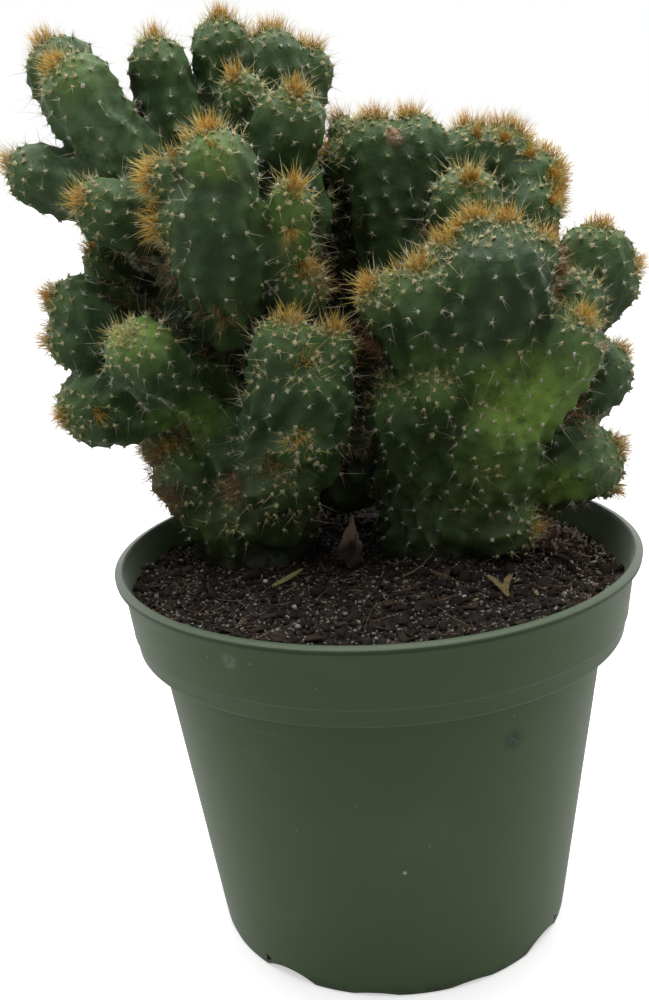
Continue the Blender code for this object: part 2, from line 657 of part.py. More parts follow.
def clear_of_neighbours(point, others):
    """True where a spine's tip keeps away from the other stem, the soil and the pot's wall."""
    if depth_in(others, point) > -STEM_CLEARANCE:
        return False
    inside_pot = point.z < POT_HEIGHT + RIM_HEADROOM
    if point.z < SOIL_TOP + SOIL_SWELL + SOIL_CLEARANCE:
        return False
    return not (inside_pot and math.hypot(point.x, point.y) > LIP_INNER_RADIUS - RIM_CLEARANCE)


def add_spine(skin, root, direction, length, name, collection):
    """A three-sided spine, rooted below the skin where its line meets it."""
    hit = skin.ray_cast(root + direction * SPINE_REACH, -direction, 2 * SPINE_REACH)[0]
    if hit is None:
        return
    bm = bmesh.new()
    bmesh.ops.create_cone(bm, cap_ends=True, segments=3, radius1=SPINE_RADIUS, radius2=0.0,
                          depth=length + SPINE_ROOT)
    bmesh.ops.translate(bm, vec=(0.0, 0.0, (length - SPINE_ROOT) / 2), verts=bm.verts)
    turn = direction.to_track_quat("Z", "Y").to_matrix().to_4x4()
    bmesh.ops.transform(bm, matrix=Matrix.Translation(hit) @ turn, verts=bm.verts)
    object_from(bm, name, collection)


def crown_spines(skin, lobe, lobes, others, seed, collection):
    """A tuft that fans out around the lobe's growing point."""
    chance = random.Random(f"crown{seed}{lobe.name}")
    side = lobe.crown.orthogonal().normalized()
    up = lobe.crown.cross(side)
    for number in range(lobe.spines):
        share = (number + CROWN_START) / lobe.spines
        tilt = math.radians(CROWN_TILTS[0] + (CROWN_TILTS[1] - CROWN_TILTS[0]) * share)
        turn = GOLDEN_ANGLE * number + chance.uniform(-CROWN_TURN_PLAY, CROWN_TURN_PLAY)
        length = chance.uniform(*CROWN_LENGTHS)
        out = side * math.cos(turn) + up * math.sin(turn)
        root_tilt = tilt * CROWN_ROOT_SHARE
        radial = lobe.crown * math.cos(root_tilt) + out * math.sin(root_tilt)
        lean = lobe.crown * math.cos(tilt) + out * math.sin(tilt)
        root = lobe.tip + radial * lobe.tip_radius
        point = root + lean * length
        if depth_in(lobes, point) < -CROWN_CLEARANCE and clear_of_neighbours(point, others):
            add_spine(skin, root, lean, length, f"crown_{lobe.name}_{number}", collection)


def flank_spines(skin, lobe, lobes, others, seed, collection):
    """Short spines from a spread of the areoles that lie open."""
    chance = random.Random(f"flank{seed}{lobe.name}")
    ribs = rib_count(lobe)
    phase = lobe_phase(lobe, seed)
    length = lobe_length(lobe)
    areoles = int(length / AREOLE_SPACING) + 1
    beside = [one for one in lobes if one is not lobe]
    for rib in range(ribs):
        turn = phase + 2 * math.pi * rib / ribs
        for areole in range(rib % FLANK_STEP, areoles, FLANK_STEP):
            walk = length - areole * AREOLE_SPACING
            root = skin_point(lobe, walk, turn, phase)
            centre = axis_point(lobe, walk / length)
            along = axis_direction(lobe, walk / length)
            lean = ((root - centre).normalized() + along * chance.uniform(*FLANK_LEANS)).normalized()
            reach = chance.uniform(*FLANK_LENGTHS)
            point = root + lean * reach
            deepest = max(depth_in(beside, root), depth_in(lobes, point))
            if deepest < -FLANK_CLEARANCE and clear_of_neighbours(point, others):
                add_spine(skin, root, lean, reach, f"flank_{lobe.name}_{rib}_{areole}", collection)


def build_stem(name, lobes, others, place, radius, seed, collection, grown, material):
    """Grow a stem's lobes into one skin, then root it and set its spines."""
    stem = build_lobe(lobes[0], seed, collection)
    stem.name = name
    for lobe in lobes[1:]:
        build_lobe(lobe, seed, grown)
    join_collection(stem, grown)
    blend_seams(stem)
    skin = BVHTree.FromObject(stem, bpy.context.evaluated_depsgraph_get())
    build_root(place, radius, grown)
    for lobe in lobes:
        crown_spines(skin, lobe, lobes, others, seed, grown)
        flank_spines(skin, lobe, lobes, others, seed, grown)
    join_collection(stem, grown)
    stem.data.materials.clear()
    stem.data.materials.append(material)
    shade_round(stem)
    return stem


def flat_piece(name, outline, collection, material):
    """A flat outline on the soil, extruded to the thickness of the litter."""
    curve = bpy.data.curves.new(name, "CURVE")
    curve.dimensions = "2D"
    curve.fill_mode = "BOTH"
    curve.extrude = LITTER_THICKNESS / 2
    spline = curve.splines.new("POLY")
    spline.points.add(len(outline) - 1)
    for point, (x, y) in zip(spline.points, outline):
        point.co = (x, y, 0.0, 1.0)
    spline.use_cyclic_u = True
    shaped = bpy.data.objects.new(f"{name}_outline", curve)
    collection.objects.link(shaped)
    graph = bpy.context.evaluated_depsgraph_get()
    mesh = bpy.data.meshes.new_from_object(shaped.evaluated_get(graph))
    bpy.data.objects.remove(shaped, do_unlink=True)
    bm = bmesh.new()
    bm.from_mesh(mesh)
    bmesh.ops.remove_doubles(bm, verts=bm.verts, dist=WELD)
    return object_from(bm, name, collection, material)


def lay_on_soil(piece, place, degrees, rise, length):
    """Lay a flat piece on the level soil and curl it upwards along its length."""
    for vertex in piece.data.vertices:
        share = max(vertex.co.x / length, 0.0)
        vertex.co.z += rise * share * share
    turn = Matrix.Rotation(math.radians(degrees), 4, "Z")
    height = SOIL_TOP + GAP + LITTER_THICKNESS / 2
    piece.data.transform(Matrix.Translation((place[0], place[1], height)) @ turn)
    return piece


def blade_outline(length, width, steps=BLADE_STEPS, lean=0.0):
    """Outline of a pointed blade that starts at the origin and runs along +X."""
    right = []
    left = []
    for step in range(steps + 1):
        share = step / steps
        half = width / 2 * math.sin(math.pi * (BLADE_START + BLADE_SPAN * share)) ** BLADE_FULLNESS
        middle = lean * length * share * share
        right.append((length * share, middle - half))
        left.append((length * share, middle + half))
    return right + left[::-1]


def build_litter(collection, grown, leaf_material, straw_material):
    """The dry leaf scrap, the straw blade and the split straw."""
    leaf = flat_piece("dry_leaf", blade_outline(LEAF_LENGTH, LEAF_WIDTH, LEAF_STEPS), collection,
                      leaf_material)
    lay_on_soil(leaf, LEAF_PLACE, LEAF_TURN, LEAF_RISE, LEAF_LENGTH)
    blade = flat_piece("straw_blade", blade_outline(STRAW_LENGTH, STRAW_WIDTH), collection, straw_material)
    lay_on_soil(blade, BLADE_PLACE, STRAW_TURN, STRAW_RISE, STRAW_LENGTH)
    halves = []
    for name, home, side in (("split_straw", collection, 1.0), ("split_half", grown, -1.0)):
        outline = blade_outline(SPLIT_LENGTH, SPLIT_WIDTH, BLADE_STEPS, side * SPLIT_LEAN)
        halves.append(flat_piece(name, outline, home, straw_material))
    split = halves[0]
    join_collection(split, grown)
    lay_on_soil(split, SPLIT_PLACE, SPLIT_TURN, SPLIT_RISE, SPLIT_LENGTH)


def main():
    """Build the potted cactus."""
    clear_scene()
    cactus = make_collection("potted_crested_cactus")
    cutters = make_collection("cutters")
    grown = make_collection("grown")

    pot_green = make_material("pot_green", (0.065, 0.10, 0.062), 0.42)
    soil_brown = make_material("soil_brown", (0.028, 0.020, 0.015), 0.95)
    left_green = make_material("left_green", (0.050, 0.115, 0.050), 0.55)
    right_green = make_material("right_green", (0.062, 0.125, 0.048), 0.55)
    leaf_brown = make_material("leaf_brown", (0.20, 0.14, 0.09), 0.85)
    straw_yellow = make_material("straw_yellow", (0.36, 0.33, 0.13), 0.7)

    left = [in_metres(lobe) for lobe in LEFT_LOBES]
    right = [in_metres(lobe) for lobe in RIGHT_LOBES]
    build_pot(cactus, cutters, pot_green)
    build_soil(cactus, cutters, grown, soil_brown)
    build_stem("left_stem", left, right, LEFT_ROOT, LEFT_ROOT_RADIUS, LEFT_SEED, cactus, grown, left_green)
    build_stem("right_stem", right, left, RIGHT_ROOT, RIGHT_ROOT_RADIUS, RIGHT_SEED, cactus, grown,
               right_green)
    build_litter(cactus, grown, leaf_brown, straw_yellow)


if __name__ == "__main__":
    main()
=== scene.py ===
"""Potted crested cactus, dressed for a picture.

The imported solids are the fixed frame. This file grows the fine skin, wool, spines and dry fibres of
the two stems, the crumbly soil with its litter, and the moulded pot. Metres, +Z up, and the viewer
of the photograph stands on the -Y side.
"""

import random
from collections import namedtuple
from contextlib import contextmanager
from math import cos, exp, hypot, log, pi, radians, sin, sqrt

import bmesh
import bpy
import numpy as np
from bpy.props import FloatProperty, FloatVectorProperty, IntProperty, PointerProperty
from bpy.types import Operator, Panel, PropertyGroup
from mathutils import Matrix, Vector, noise
from mathutils.bvhtree import BVHTree
from mathutils.kdtree import KDTree


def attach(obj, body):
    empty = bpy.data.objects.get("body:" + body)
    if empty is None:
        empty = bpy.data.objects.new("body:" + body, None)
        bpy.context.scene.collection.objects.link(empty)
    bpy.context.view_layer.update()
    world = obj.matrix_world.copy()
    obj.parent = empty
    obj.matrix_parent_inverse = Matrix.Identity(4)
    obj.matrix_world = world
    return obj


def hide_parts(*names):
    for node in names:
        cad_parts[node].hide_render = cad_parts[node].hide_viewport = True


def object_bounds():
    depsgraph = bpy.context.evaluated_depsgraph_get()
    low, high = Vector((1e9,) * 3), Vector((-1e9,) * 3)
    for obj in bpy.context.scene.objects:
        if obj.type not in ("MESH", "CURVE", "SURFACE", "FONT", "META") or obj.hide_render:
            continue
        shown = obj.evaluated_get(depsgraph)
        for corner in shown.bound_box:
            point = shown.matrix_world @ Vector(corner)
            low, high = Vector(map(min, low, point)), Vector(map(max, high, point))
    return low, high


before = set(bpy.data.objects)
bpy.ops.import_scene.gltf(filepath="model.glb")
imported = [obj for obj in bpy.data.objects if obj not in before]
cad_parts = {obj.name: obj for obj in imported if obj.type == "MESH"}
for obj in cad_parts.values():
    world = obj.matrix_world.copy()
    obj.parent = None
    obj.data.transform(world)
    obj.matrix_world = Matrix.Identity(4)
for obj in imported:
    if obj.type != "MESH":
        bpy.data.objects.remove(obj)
CAD_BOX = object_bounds()

bl_info = {
    "name": "Potted crested cactus",
    "version": (1, 0, 0),
    "blender": (4, 5, 0),
    "location": "View3D > Sidebar > Cactus",
    "description": "Grows a crested cactus in its nursery pot around the packed solids",
    "category": "Object",
}

MM = 0.001
TURN = 2 * pi

# Camera, floor and light
CAMERA_PLACE = Vector((0.0, -0.350, 0.23846))
CAMERA_AIM = Vector((-0.01444, 0.0, 0.13217))
CAMERA_ROLL = radians(-3.7334)
CAMERA_LENS = 44.5
SENSOR_WIDTH = 36.0
FLOOR_SIZE = 40.0
FLOOR_HEIGHT = -0.0002
FLOOR_GLOW = 0.5
BACK_LIGHT_START = 0.45
PANEL_SIZE = 0.9
PANEL_PLACE = (0.0, 0.10, 0.95)

# Pot
POT_HEIGHT = 0.118
POT_SEGMENTS = 192
POT_WALL = 0.0014
POT_FLOOR = 0.0018
LIP_RADIUS = 0.0775
LIP_INNER_RADIUS = 0.0751
LIP_HEIGHT = 0.0024
BAND_TOP_RADIUS = 0.0759
BAND_RIDGE_RADIUS = 0.0736
BAND_RIDGE_DROP = 0.0183
BAND_BOTTOM_RADIUS = 0.0727
BAND_DROP = 0.0240
BAND_ROUND = 0.0012
WALL_TOP_RADIUS = 0.0668
WALL_BOTTOM_RADIUS = 0.0542
FOOT_ROUND = 0.0006
QUARTERS = 4
DRAIN_ANGLE = -126.0
DRAIN_SIZE = (0.0185, 0.0030)
SCALLOP_ANGLES = (-97.0, -67.0)
SCALLOP_SIZE = (0.0150, 0.0010)
SLOT_TURN = 8.5
SLOT_RISE = 0.0030
SLOT_RADIUS = 0.0016
CUT_DEPTH = 0.006
ARCH_FACETS = 160
WALL_RINGS = 12
WALL_START = 0.006
WALL_END = 0.0025

# Small steps of the pot's profile, out and up from a named radius and height
STEP_FILLET = ((0.0001, -0.0008), (0.0008, -0.0001))
RIDGE_LINE = ((-0.0006, -0.0008), (-0.0002, -0.0002), (0.0001, 0.0001), (0.0001, 0.0006))
BAND_WAIST = ((-0.0010, -0.0070),)
UNDER_LIP = ((-0.0001, -0.0006), (0.0002, -0.0001))
LIP_UNDERSIDE = ((-0.0006, 0.0), (-0.0002, 0.0002), (-0.0001, 0.0005), (-0.0003, 0.0008))
LIP_BEAD = ((-0.0003, -0.0012), (0.0, -0.0010), (0.0, -0.0007), (-0.0003, -0.0004))
LIP_INSIDE = ((0.0009, -0.00005), (0.0004, 0.0), (0.0001, -0.0002), (-0.0001, -0.0007))

# Marks on the pot: a centre and a radius in millimetres, a strength and a colour
POT_MARKS = (
    ((33.8, -55.7, 80.4), 4.5, 0.80, (0.022, 0.028, 0.020)),
    ((-38.3, -64.0, 110.5), 3.2, 0.50, (0.300, 0.340, 0.270)),
    ((3.1, -60.0, 44.2), 0.8, 1.00, (0.620, 0.640, 0.600)),
    ((-30.0, -68.4, 101.0), 0.7, 0.80, (0.450, 0.470, 0.430)),
    ((44.0, -41.0, 26.0), 0.6, 0.90, (0.500, 0.520, 0.480)),
)

# Soil
SOIL_TOP = 0.108
SOIL_GAP = 0.00036
SOIL_SWELL = 0.0022
SOIL_RADIUS = 0.0738
SOIL_STEP = 0.0009
SLAB_DEPTH = 0.02
SLAB_FOOT = -0.004
ROOT_OVERHANG = 0.002
LITTER_CALM = 0.014
BROWN_SIDE = (0.045, 0.066)

# A spot of the soil and how far it spreads: the heap of brown litter, and the mouth of the cleft,
# where the grains are darkened as painted shade
LITTER_HEAP = (0.060, 0.031, 0.0095)
SHADED_CLEFT = (-0.006, 0.014, 0.013)

# Fine relief of the soil: height, waves a metre and the level at which its noise is read
SOIL_RELIEF = ((0.0009, 420.0, 0.7), (0.0005, 950.0, 0.9), (0.0016, 160.0, 0.3))

# Grains on the soil: smallest and largest size, how rough they are, how flat they may be, how high
# they sit, and whether they are boxy
Grain = namedtuple("Grain", "sizes rough flat raised boxy")
GRAINS = {
    "soil_crumbs": Grain((0.0003, 0.0016), 0.60, (0.5, 0.9), 0.25, False),
    "soil_clods": Grain((0.0016, 0.0040), 0.55, (0.5, 0.9), 0.10, False),
    "soil_grit": Grain((0.00012, 0.0006), 0.45, (0.6, 0.9), 0.90, True),
    "soil_perlite": Grain((0.0003, 0.0010), 0.35, (0.6, 0.9), 0.60, True),
    "tan_flakes": Grain((0.0003, 0.0012), 0.40, (0.15, 0.5), 0.90, True),
    "brown_litter": Grain((0.0002, 0.0010), 0.50, (0.2, 0.7), 0.80, True),
}
CLODS = 70
PERLITE = 60
TAN_FLAKES = 900
BROWN_LITTER = 2000
GRAIN_PATTERNS = 6
CHIP_SIZES = (0.0015, 0.0055)
CHIP_SHAPE = (1.0, 0.45, 0.16)
CHIP_TILT = 0.35
CHIP_PATTERNS = 4
CHIP_LIFT = 0.0005

# Root threads: how steep and how long they may be, loose on the soil and in the litter heap
LOOSE_THREAD = (0.25, 0.010)
HEAPED_THREAD = (0.9, 0.005)
SHORTEST_THREAD = 0.003
THREAD_RADII = (0.00010, 0.00020)
THREAD_BEND = 0.35
THREAD_LIFT = 0.0008

# Leaf and straws: places, lengths and widths, turns in degrees and heights over the soil
LITTER_PLACES = ((-0.0085, 0.003), (-0.031, -0.010), (0.036, -0.027))
LEAF_SIZE = (0.014, 0.0095)
LEAF_TURN = 84.0
LEAF_HEIGHT = 0.0010
STRAW_SIZE = (0.014, 0.0022)
STRAW_TURN = 52.0
SPLIT_SIZE = (0.012, 0.0026)
SPLIT_TURN = 95.0
SPLIT_LEANS = (0.27, -0.30)
STRAW_HEIGHT = 0.0014
STRAW_ROLL = 0.0004

# Stems
ROOTS = {"left": ((-0.037, 0.031), 0.0200), "right": ((0.022, 0.024), 0.0220)}
SEEDS = {"left": 3, "right": 5}
RIB_SPACING = 0.0078
FEWEST_RIBS = 5
BASE_OVERLAP = 0.35
AXIS_BEND = 0.45
AXIS_SAMPLES = 12
RIB_SWAY = 0.14
RIB_WAVES = 260.0
AREOLE_FIRST = 0.0022
AREOLE_LAST = 0.0055
AREOLE_GROWTH = 0.16
AREOLE_CLEARANCE = 0.0037
CROWN_CLEARANCE = 0.0011
CROWN_REACH = 0.015
CREST_STEP = 0.0042
CROWN_FUZZ = 0.0105
COLUMNS_PER_RIB = 8
ROW_STEP = 0.0012
FEWEST_ROWS = 6
LUMP_WAVES = 62.0
KNOB_WAVES = 150.0
DEPTH_BATCH = 20000

# Areoles
BARE_TIP = 0.0008
CROWDED_RING = 0.0022
OPEN_SKIN = -0.0006
BARE_FOOT = 0.003
HUDDLE_AGE = 0.006
BARE_POLE = 0.0015
HIGHEST_CHIN = 1.4
CHIN_WIDTH = 0.0012
CHIN_SPREAD = 0.0009
CHIN_REACH = 2.2

# Where the skin changes: distances from a growing point, heights over the soil, and how far it
# rises over the softened skin or lies below it
YOUNG_SKIN = (0.004, 0.014)
DUSTY_SKIN = (0.014, 0.044)
SOILED_SKIN = (0.001, 0.011)
RIDGES = (0.00010, 0.00055)
HOLLOWS = (0.00012, 0.00060)
SOFTENINGS = 14

# Spines
SPINE_SINK = 0.0006
SPINE_CLEARANCE = 0.0008
BOX_CLEARANCE = 0.001
WALL_CLEARANCE = 0.0015
ROOT_JITTER = 0.0005
LOW_SKIN = (0.112, 0.140)
HUDDLE_TUFT = 0.0026
FUZZ_LENGTHS = (0.0018, 0.0046)
INNER_RING = (0.0008, 0.0016)
OUTER_RING = (0.0011, 0.0033)
WOOL_SHARES = (0.50, 1.02)
WOOL_PATTERNS = 4

Lobe = namedtuple("Lobe", "name base base_radius tip tip_radius crown tuft", defaults=((0, 0, 1), 0))

# Each lobe grows from a base point to a tip point, with the radius of its body at both, all in
# millimetres. The crown is the way its growing point looks, and the last value is how full its
# tuft of golden spines is. A lobe without them looks up and has no tuft.
LEFT_LOBES = (
    ("trunk", (-38, 31, 102), 19, (-41, 31, 136), 20),
    ("core", (-41, 32, 134), 19, (-43, 34, 179), 19),
    ("high_core", (-43, 34, 179), 17, (-47, 36, 214), 17),
    ("foot", (-46, 27, 121), 12, (-57, 22, 136), 11, (-0.5, -0.3, 0.8), 2),
    ("dry_heel", (-51, 34, 138), 11, (-64, 32, 144), 8, (-0.9, -0.3, -0.1), 3),
    ("lower_front", (-36, 20, 122), 15, (-27, 9, 138), 13, (0.3, -0.8, 0.5), 2),
    ("front", (-25, 14, 140), 15, (-20, -2, 166), 15, (0.1, -0.7, 0.7), 2),
    ("front_top_left", (-20, 0, 163), 13, (-22, -6, 178), 10, (0.1, -0.4, 0.9), 6),
    ("front_top_right", (-16, 0, 162), 11, (-11, -1, 176), 8, (0.2, -0.4, 0.9), 5),
    ("front_chin", (-20, 4, 153), 12, (-20, -6, 153), 9, (0, -1, 0.1), 2),
    ("low_arm", (-45, 34, 158), 11, (-82, 20, 160), 12, (-0.8, -0.5, -0.1), 6),
    ("green_tip", (-44, 28, 163), 11, (-63.5, -1, 178.5), 10.5, (-0.25, -0.75, 0.60), 5),
    ("left_crest_top", (-56, 40, 170), 12, (-86, 26, 189), 10, (-0.8, -0.3, 0.5), 6),
    ("left_crest_low", (-56, 38, 168), 11, (-87, 24, 180), 9, (-0.9, -0.3, 0.1), 4),
    ("left_nub", (-62, 48, 185), 8, (-81, 44, 201), 6, (-0.5, -0.1, 0.9), 5),
    ("far_arm", (-63, 36, 219), 10, (-94, 30, 229), 9, (-0.9, -0.2, 0.4), 6),
    ("small_arm", (-58, 26, 213), 10, (-72, 12, 219), 9, (-0.6, -0.7, 0.4), 5),
    ("tall_left_front", (-59, 34, 215), 12, (-79, 28, 250), 11, (-0.4, -0.4, 0.8), 6),
    ("tall_left_back", (-61, 44, 218), 12, (-87, 44, 258), 10, (-0.4, -0.1, 0.9), 7),
    ("tall_mid", (-53, 44, 220), 12, (-58, 46, 257), 9, (-0.1, -0.1, 1), 6),
    ("top_left", (-39, 48, 220), 13, (-39, 56, 262), 9, (0, -0.2, 1), 7),
    ("top_mid", (-32, 48, 220), 13, (-24, 54, 255), 11, (0, 0, 1), 8),
    ("top_right", (-27, 52, 232), 11, (-13, 58, 254), 7, (0.3, 0, 1), 6),
    ("nub_left", (-32, 40, 232), 9, (-32, 30, 248), 6, (-0.1, -0.6, 0.8), 5),
    ("nub_right", (-27, 36, 222), 10, (-19, 24, 239), 10, (0.3, -0.5, 0.8), 6),
    ("shade_body", (-31, 36, 187), 16, (-23, 34, 221), 12, (0.2, 0, 1), 0),
    ("ear_back", (-27, 34, 192), 12, (-17, 36, 212), 9, (0.3, 0, 1), 0),
    ("big_front", (-37, 18, 184), 13, (-40, 2, 216), 14, (0, -0.3, 1), 0),
    ("big_front_top", (-39, 6, 209), 14, (-38, 0, 228), 10, (-0.1, -0.2, 1), 8),
    ("big_front_side", (-45, 8, 210), 10, (-51, 4, 226), 7, (-0.9, -0.4, 0.3), 6),
    ("big_front_edge", (-44, 8, 206), 10, (-50, 2, 215), 7, (-0.9, -0.5, -0.1), 5),
    ("ear", (-29, 14, 197), 9, (-19, 2, 217), 7, (0.2, -0.6, 0.8), 6),
    ("under_ear", (-22, 24, 175), 9, (-18, 10, 192), 8, (0.3, -0.6, 0.7), 4),
    ("back_high", (-40, 48, 196), 13, (-50, 76, 230), 11, (-0.2, 0.5, 0.8), 6),
    ("back_side", (-46, 46, 172), 13, (-76, 66, 196), 11, (-0.6, 0.5, 0.6), 6),
    ("back_mid", (-38, 46, 150), 14, (-46, 80, 168), 12, (-0.2, 0.8, 0.5), 6),
    ("back_low", (-40, 42, 132), 13, (-61, 66, 142), 11, (-0.5, 0.8, 0.2), 6),
    ("back_inner", (-32, 48, 182), 12, (-31, 76, 213), 10, (0.2, 0.6, 0.7), 6),
)
RIGHT_LOBES = (
    ("trunk", (22, 24, 102), 21, (23, 26, 134), 22),
    ("core", (23, 26, 132), 21, (26, 28, 160), 20),
    ("high_core", (24, 34, 153), 18, (25, 44, 189), 18),
    ("apron", (30, 15, 117), 15, (36, 3, 150), 14, (0.1, -0.5, 0.9), 0),
    ("foot", (26, 18, 119), 11, (38, 6, 120), 10, (0.8, -0.5, 0), 2),
    ("knee", (18, 20, 134), 14, (11, 8, 156), 12, (-0.3, -0.6, 0.7), 1),
    ("pup", (21, 10, 152), 11, (20, -3, 164), 7, (0, -0.8, 0.6), 1),
    ("low_arm", (40, 26, 134), 13, (64, 14, 136), 12, (0.8, -0.3, 0.4), 6),
    ("low_arm_rib", (56, 18, 132), 9, (70, 12, 129), 4, (0.9, -0.2, -0.4), 3),
    ("back_arm", (48, 40, 138), 13, (70, 34, 158), 12, (0.8, 0, 0.6), 6),
    ("bright_arm", (36, 12, 149), 15, (56, -6, 175), 10, (0.4, -0.4, 0.8), 6),
    ("arm_flank", (46, 22, 158), 12, (60, 7, 184), 9, (0.4, -0.4, 0.8), 0),
    ("bright_mid", (24, 14, 148), 16, (33, 2, 177), 15, (0, -0.9, 0.4), 0),
    ("front_crest", (32, 8, 170), 16, (37, -4, 194), 15, (0, -0.2, 1), 0),
    ("crest_outer_left", (31, 6, 188), 10, (25, 0, 199), 7, (-0.3, -0.2, 0.9), 6),
    ("crest_inner_left", (35, 6, 188), 10, (33, -2, 204), 7, (-0.1, -0.2, 1), 6),
    ("crest_inner_right", (39, 6, 187), 10, (41, -2, 203), 7, (0, -0.2, 1), 6),
    ("crest_outer_right", (42, 6, 187), 10, (48, 0, 199), 7, (0.4, -0.2, 0.9), 3),
    ("shoulder_left", (22, 12, 167), 12, (8, 1, 188), 9, (-0.6, -0.4, 0.7), 7),
    ("shoulder_mid", (22, 8, 173), 12, (17, -4, 190), 10, (-0.1, -0.4, 0.9), 6),
    ("right_arm", (51, 30, 174), 14, (68, 18, 194), 11, (0.1, -0.2, 1), 7),
    ("right_tip", (58, 26, 177), 10, (72, 20, 188), 9, (0.8, -0.1, 0.5), 6),
    ("column_left", (13, 46, 187), 13, (7, 44, 228), 11, (-0.1, -0.1, 1), 9),
    ("column_right", (16, 50, 189), 13, (18, 48, 228), 11, (0, 0, 1), 9),
    ("column_shade", (3, 60, 180), 12, (-5, 60, 216), 10, (-0.2, 0, 1), 4),
    ("nub_high", (4, 50, 224), 7, (-3, 50, 235), 5, (-0.3, -0.2, 0.9), 4),
    ("nub_low", (3, 46, 219), 7, (-6, 46, 228), 5, (-0.6, -0.6, 0.4), 3),
    ("ridge_left", (38, 50, 188), 15, (36, 50, 224), 11, (-0.2, 0, 1), 6),
    ("ridge_mid", (44, 50, 187), 15, (45, 50, 223), 11, (0, 0, 1), 6),
    ("ridge_right", (47, 48, 187), 15, (53, 46, 216), 11, (0.5, 0, 0.9), 6),
    ("ridge_end", (48, 42, 182), 14, (52, 36, 208), 9, (0.9, 0, 0.4), 6),
    ("ridge_front", (31, 34, 188), 12, (32, 22, 213), 10, (0, -0.7, 0.7), 7),
    ("back_column", (5, 46, 124), 15, (-6, 64, 166), 14, (-0.2, 0.3, 0.9), 5),
    ("back_filler", (-8, 50, 117), 12, (-10, 56, 140), 11, (0, 0.3, 1), 0),
    ("back_bridge", (10, 54, 156), 13, (-4, 66, 192), 12, (-0.2, 0.2, 0.9), 3),
    ("back_high", (32, 52, 186), 14, (36, 78, 216), 12, (0.2, 0.6, 0.8), 6),
    ("back_side", (42, 48, 156), 14, (64, 70, 180), 12, (0.6, 0.6, 0.6), 6),
    ("back_mid", (26, 46, 146), 14, (28, 78, 162), 12, (0, 0.9, 0.4), 6),
    ("back_low", (38, 38, 130), 13, (58, 60, 136), 11, (0.6, 0.7, 0.1), 6),
    ("back_top", (18, 56, 192), 13, (-6, 80, 222), 10, (-0.4, 0.5, 0.8), 6),
)

# Rows of tips whose golden spines run together in one crest, and the half width of the crest
CRESTS = {
    "left": (
        (("top_left", "top_mid", "top_right"), 0.0046),
        (("big_front_top", "big_front_side", "big_front_edge"), 0.0046),
        (("left_crest_top", "left_crest_low"), 0.0042),
    ),
    "right": (
        (("crest_outer_left", "crest_inner_left", "crest_inner_right"), 0.0056),
        (("ridge_left", "ridge_mid", "ridge_right", "ridge_end"), 0.0072),
        (("column_left", "column_right"), 0.0046),
        (("shoulder_left", "shoulder_mid"), 0.0046),
    ),
}

# Tufts with hardly any golden heart: yellow-green rays and pale wool alone
PALE_TUFTS = ("green_tip", "pup", "knee")
PALE_HEART = 0.15

# Patches on the skin, each with a centre and a radius in millimetres and a strength: fresh
# yellow-green ones, ones with a pale waxy bloom, dark ones of painted shade and pale corky scars
FRESH_PATCHES = {
    "left": (
        ((-64, -6, 186), 13, 0.50), ((-56, 15, 157), 15, 0.55), ((-38, -8, 232), 9, 0.45),
        ((-34, -4, 186), 12, 0.10), ((-80, 20, 256), 16, 0.22), ((-76, 22, 238), 18, 0.08),
        ((-28, 24, 262), 14, 0.25), ((-50, 12, 122), 14, 0.20), ((-19, -2, 214), 12, 0.30),
    ),
    "right": (
        ((45, -12, 160), 20, 1.00), ((56, -10, 168), 13, 0.60), ((56, 0, 129), 13, 0.95),
        ((66, 6, 134), 12, 0.20), ((38, -2, 142), 16, 0.40), ((20, -4, 168), 14, 0.20),
        ((30, 6, 128), 14, 0.25), ((14, 6, 136), 14, 0.15),
    ),
}
BLOOM_PATCHES = {
    "left": (
        ((-78, 20, 238), 24, 1.00), ((-84, 14, 188), 14, 0.30), ((-84, 20, 160), 12, 0.45),
        ((-22, 34, 258), 16, 0.30),
    ),
    "right": (
        ((68, 4, 137), 15, 1.00), ((56, -10, 172), 12, 0.40), ((54, 20, 214), 12, 0.35),
    ),
}
PAINTED_SHADE_PATCHES = {
    "left": (
        ((-22, -8, 162), 15, 0.9), ((-21, -11, 171), 11, 0.8), ((-36, -6, 202), 14, 0.5),
        ((-40, 14, 134), 16, 0.3), ((-30, 10, 124), 14, 0.3), ((-62, 14, 206), 14, 0.4),
        ((-50, 22, 188), 20, 1.0),
    ),
    "right": (
        ((4, 20, 136), 18, 0.6), ((2, 42, 192), 20, 0.7), ((18, 34, 214), 16, 0.6),
        ((40, -10, 190), 18, 1.0), ((33, -8, 203), 14, 0.6), ((46, 30, 205), 14, 0.4),
    ),
}
SCARS = {
    "left": (
        ((-70, 34, 148), 7, 1.0),),
    "right": (
        ((12, 35.7, 234), 3.2, 1.0), ((64.7, -9.4, 174), 3.0, 1.0), ((72, 12, 128), 4.0, 1.0),
        ((59, -14, 172), 1.4, 1.0),
    ),
}

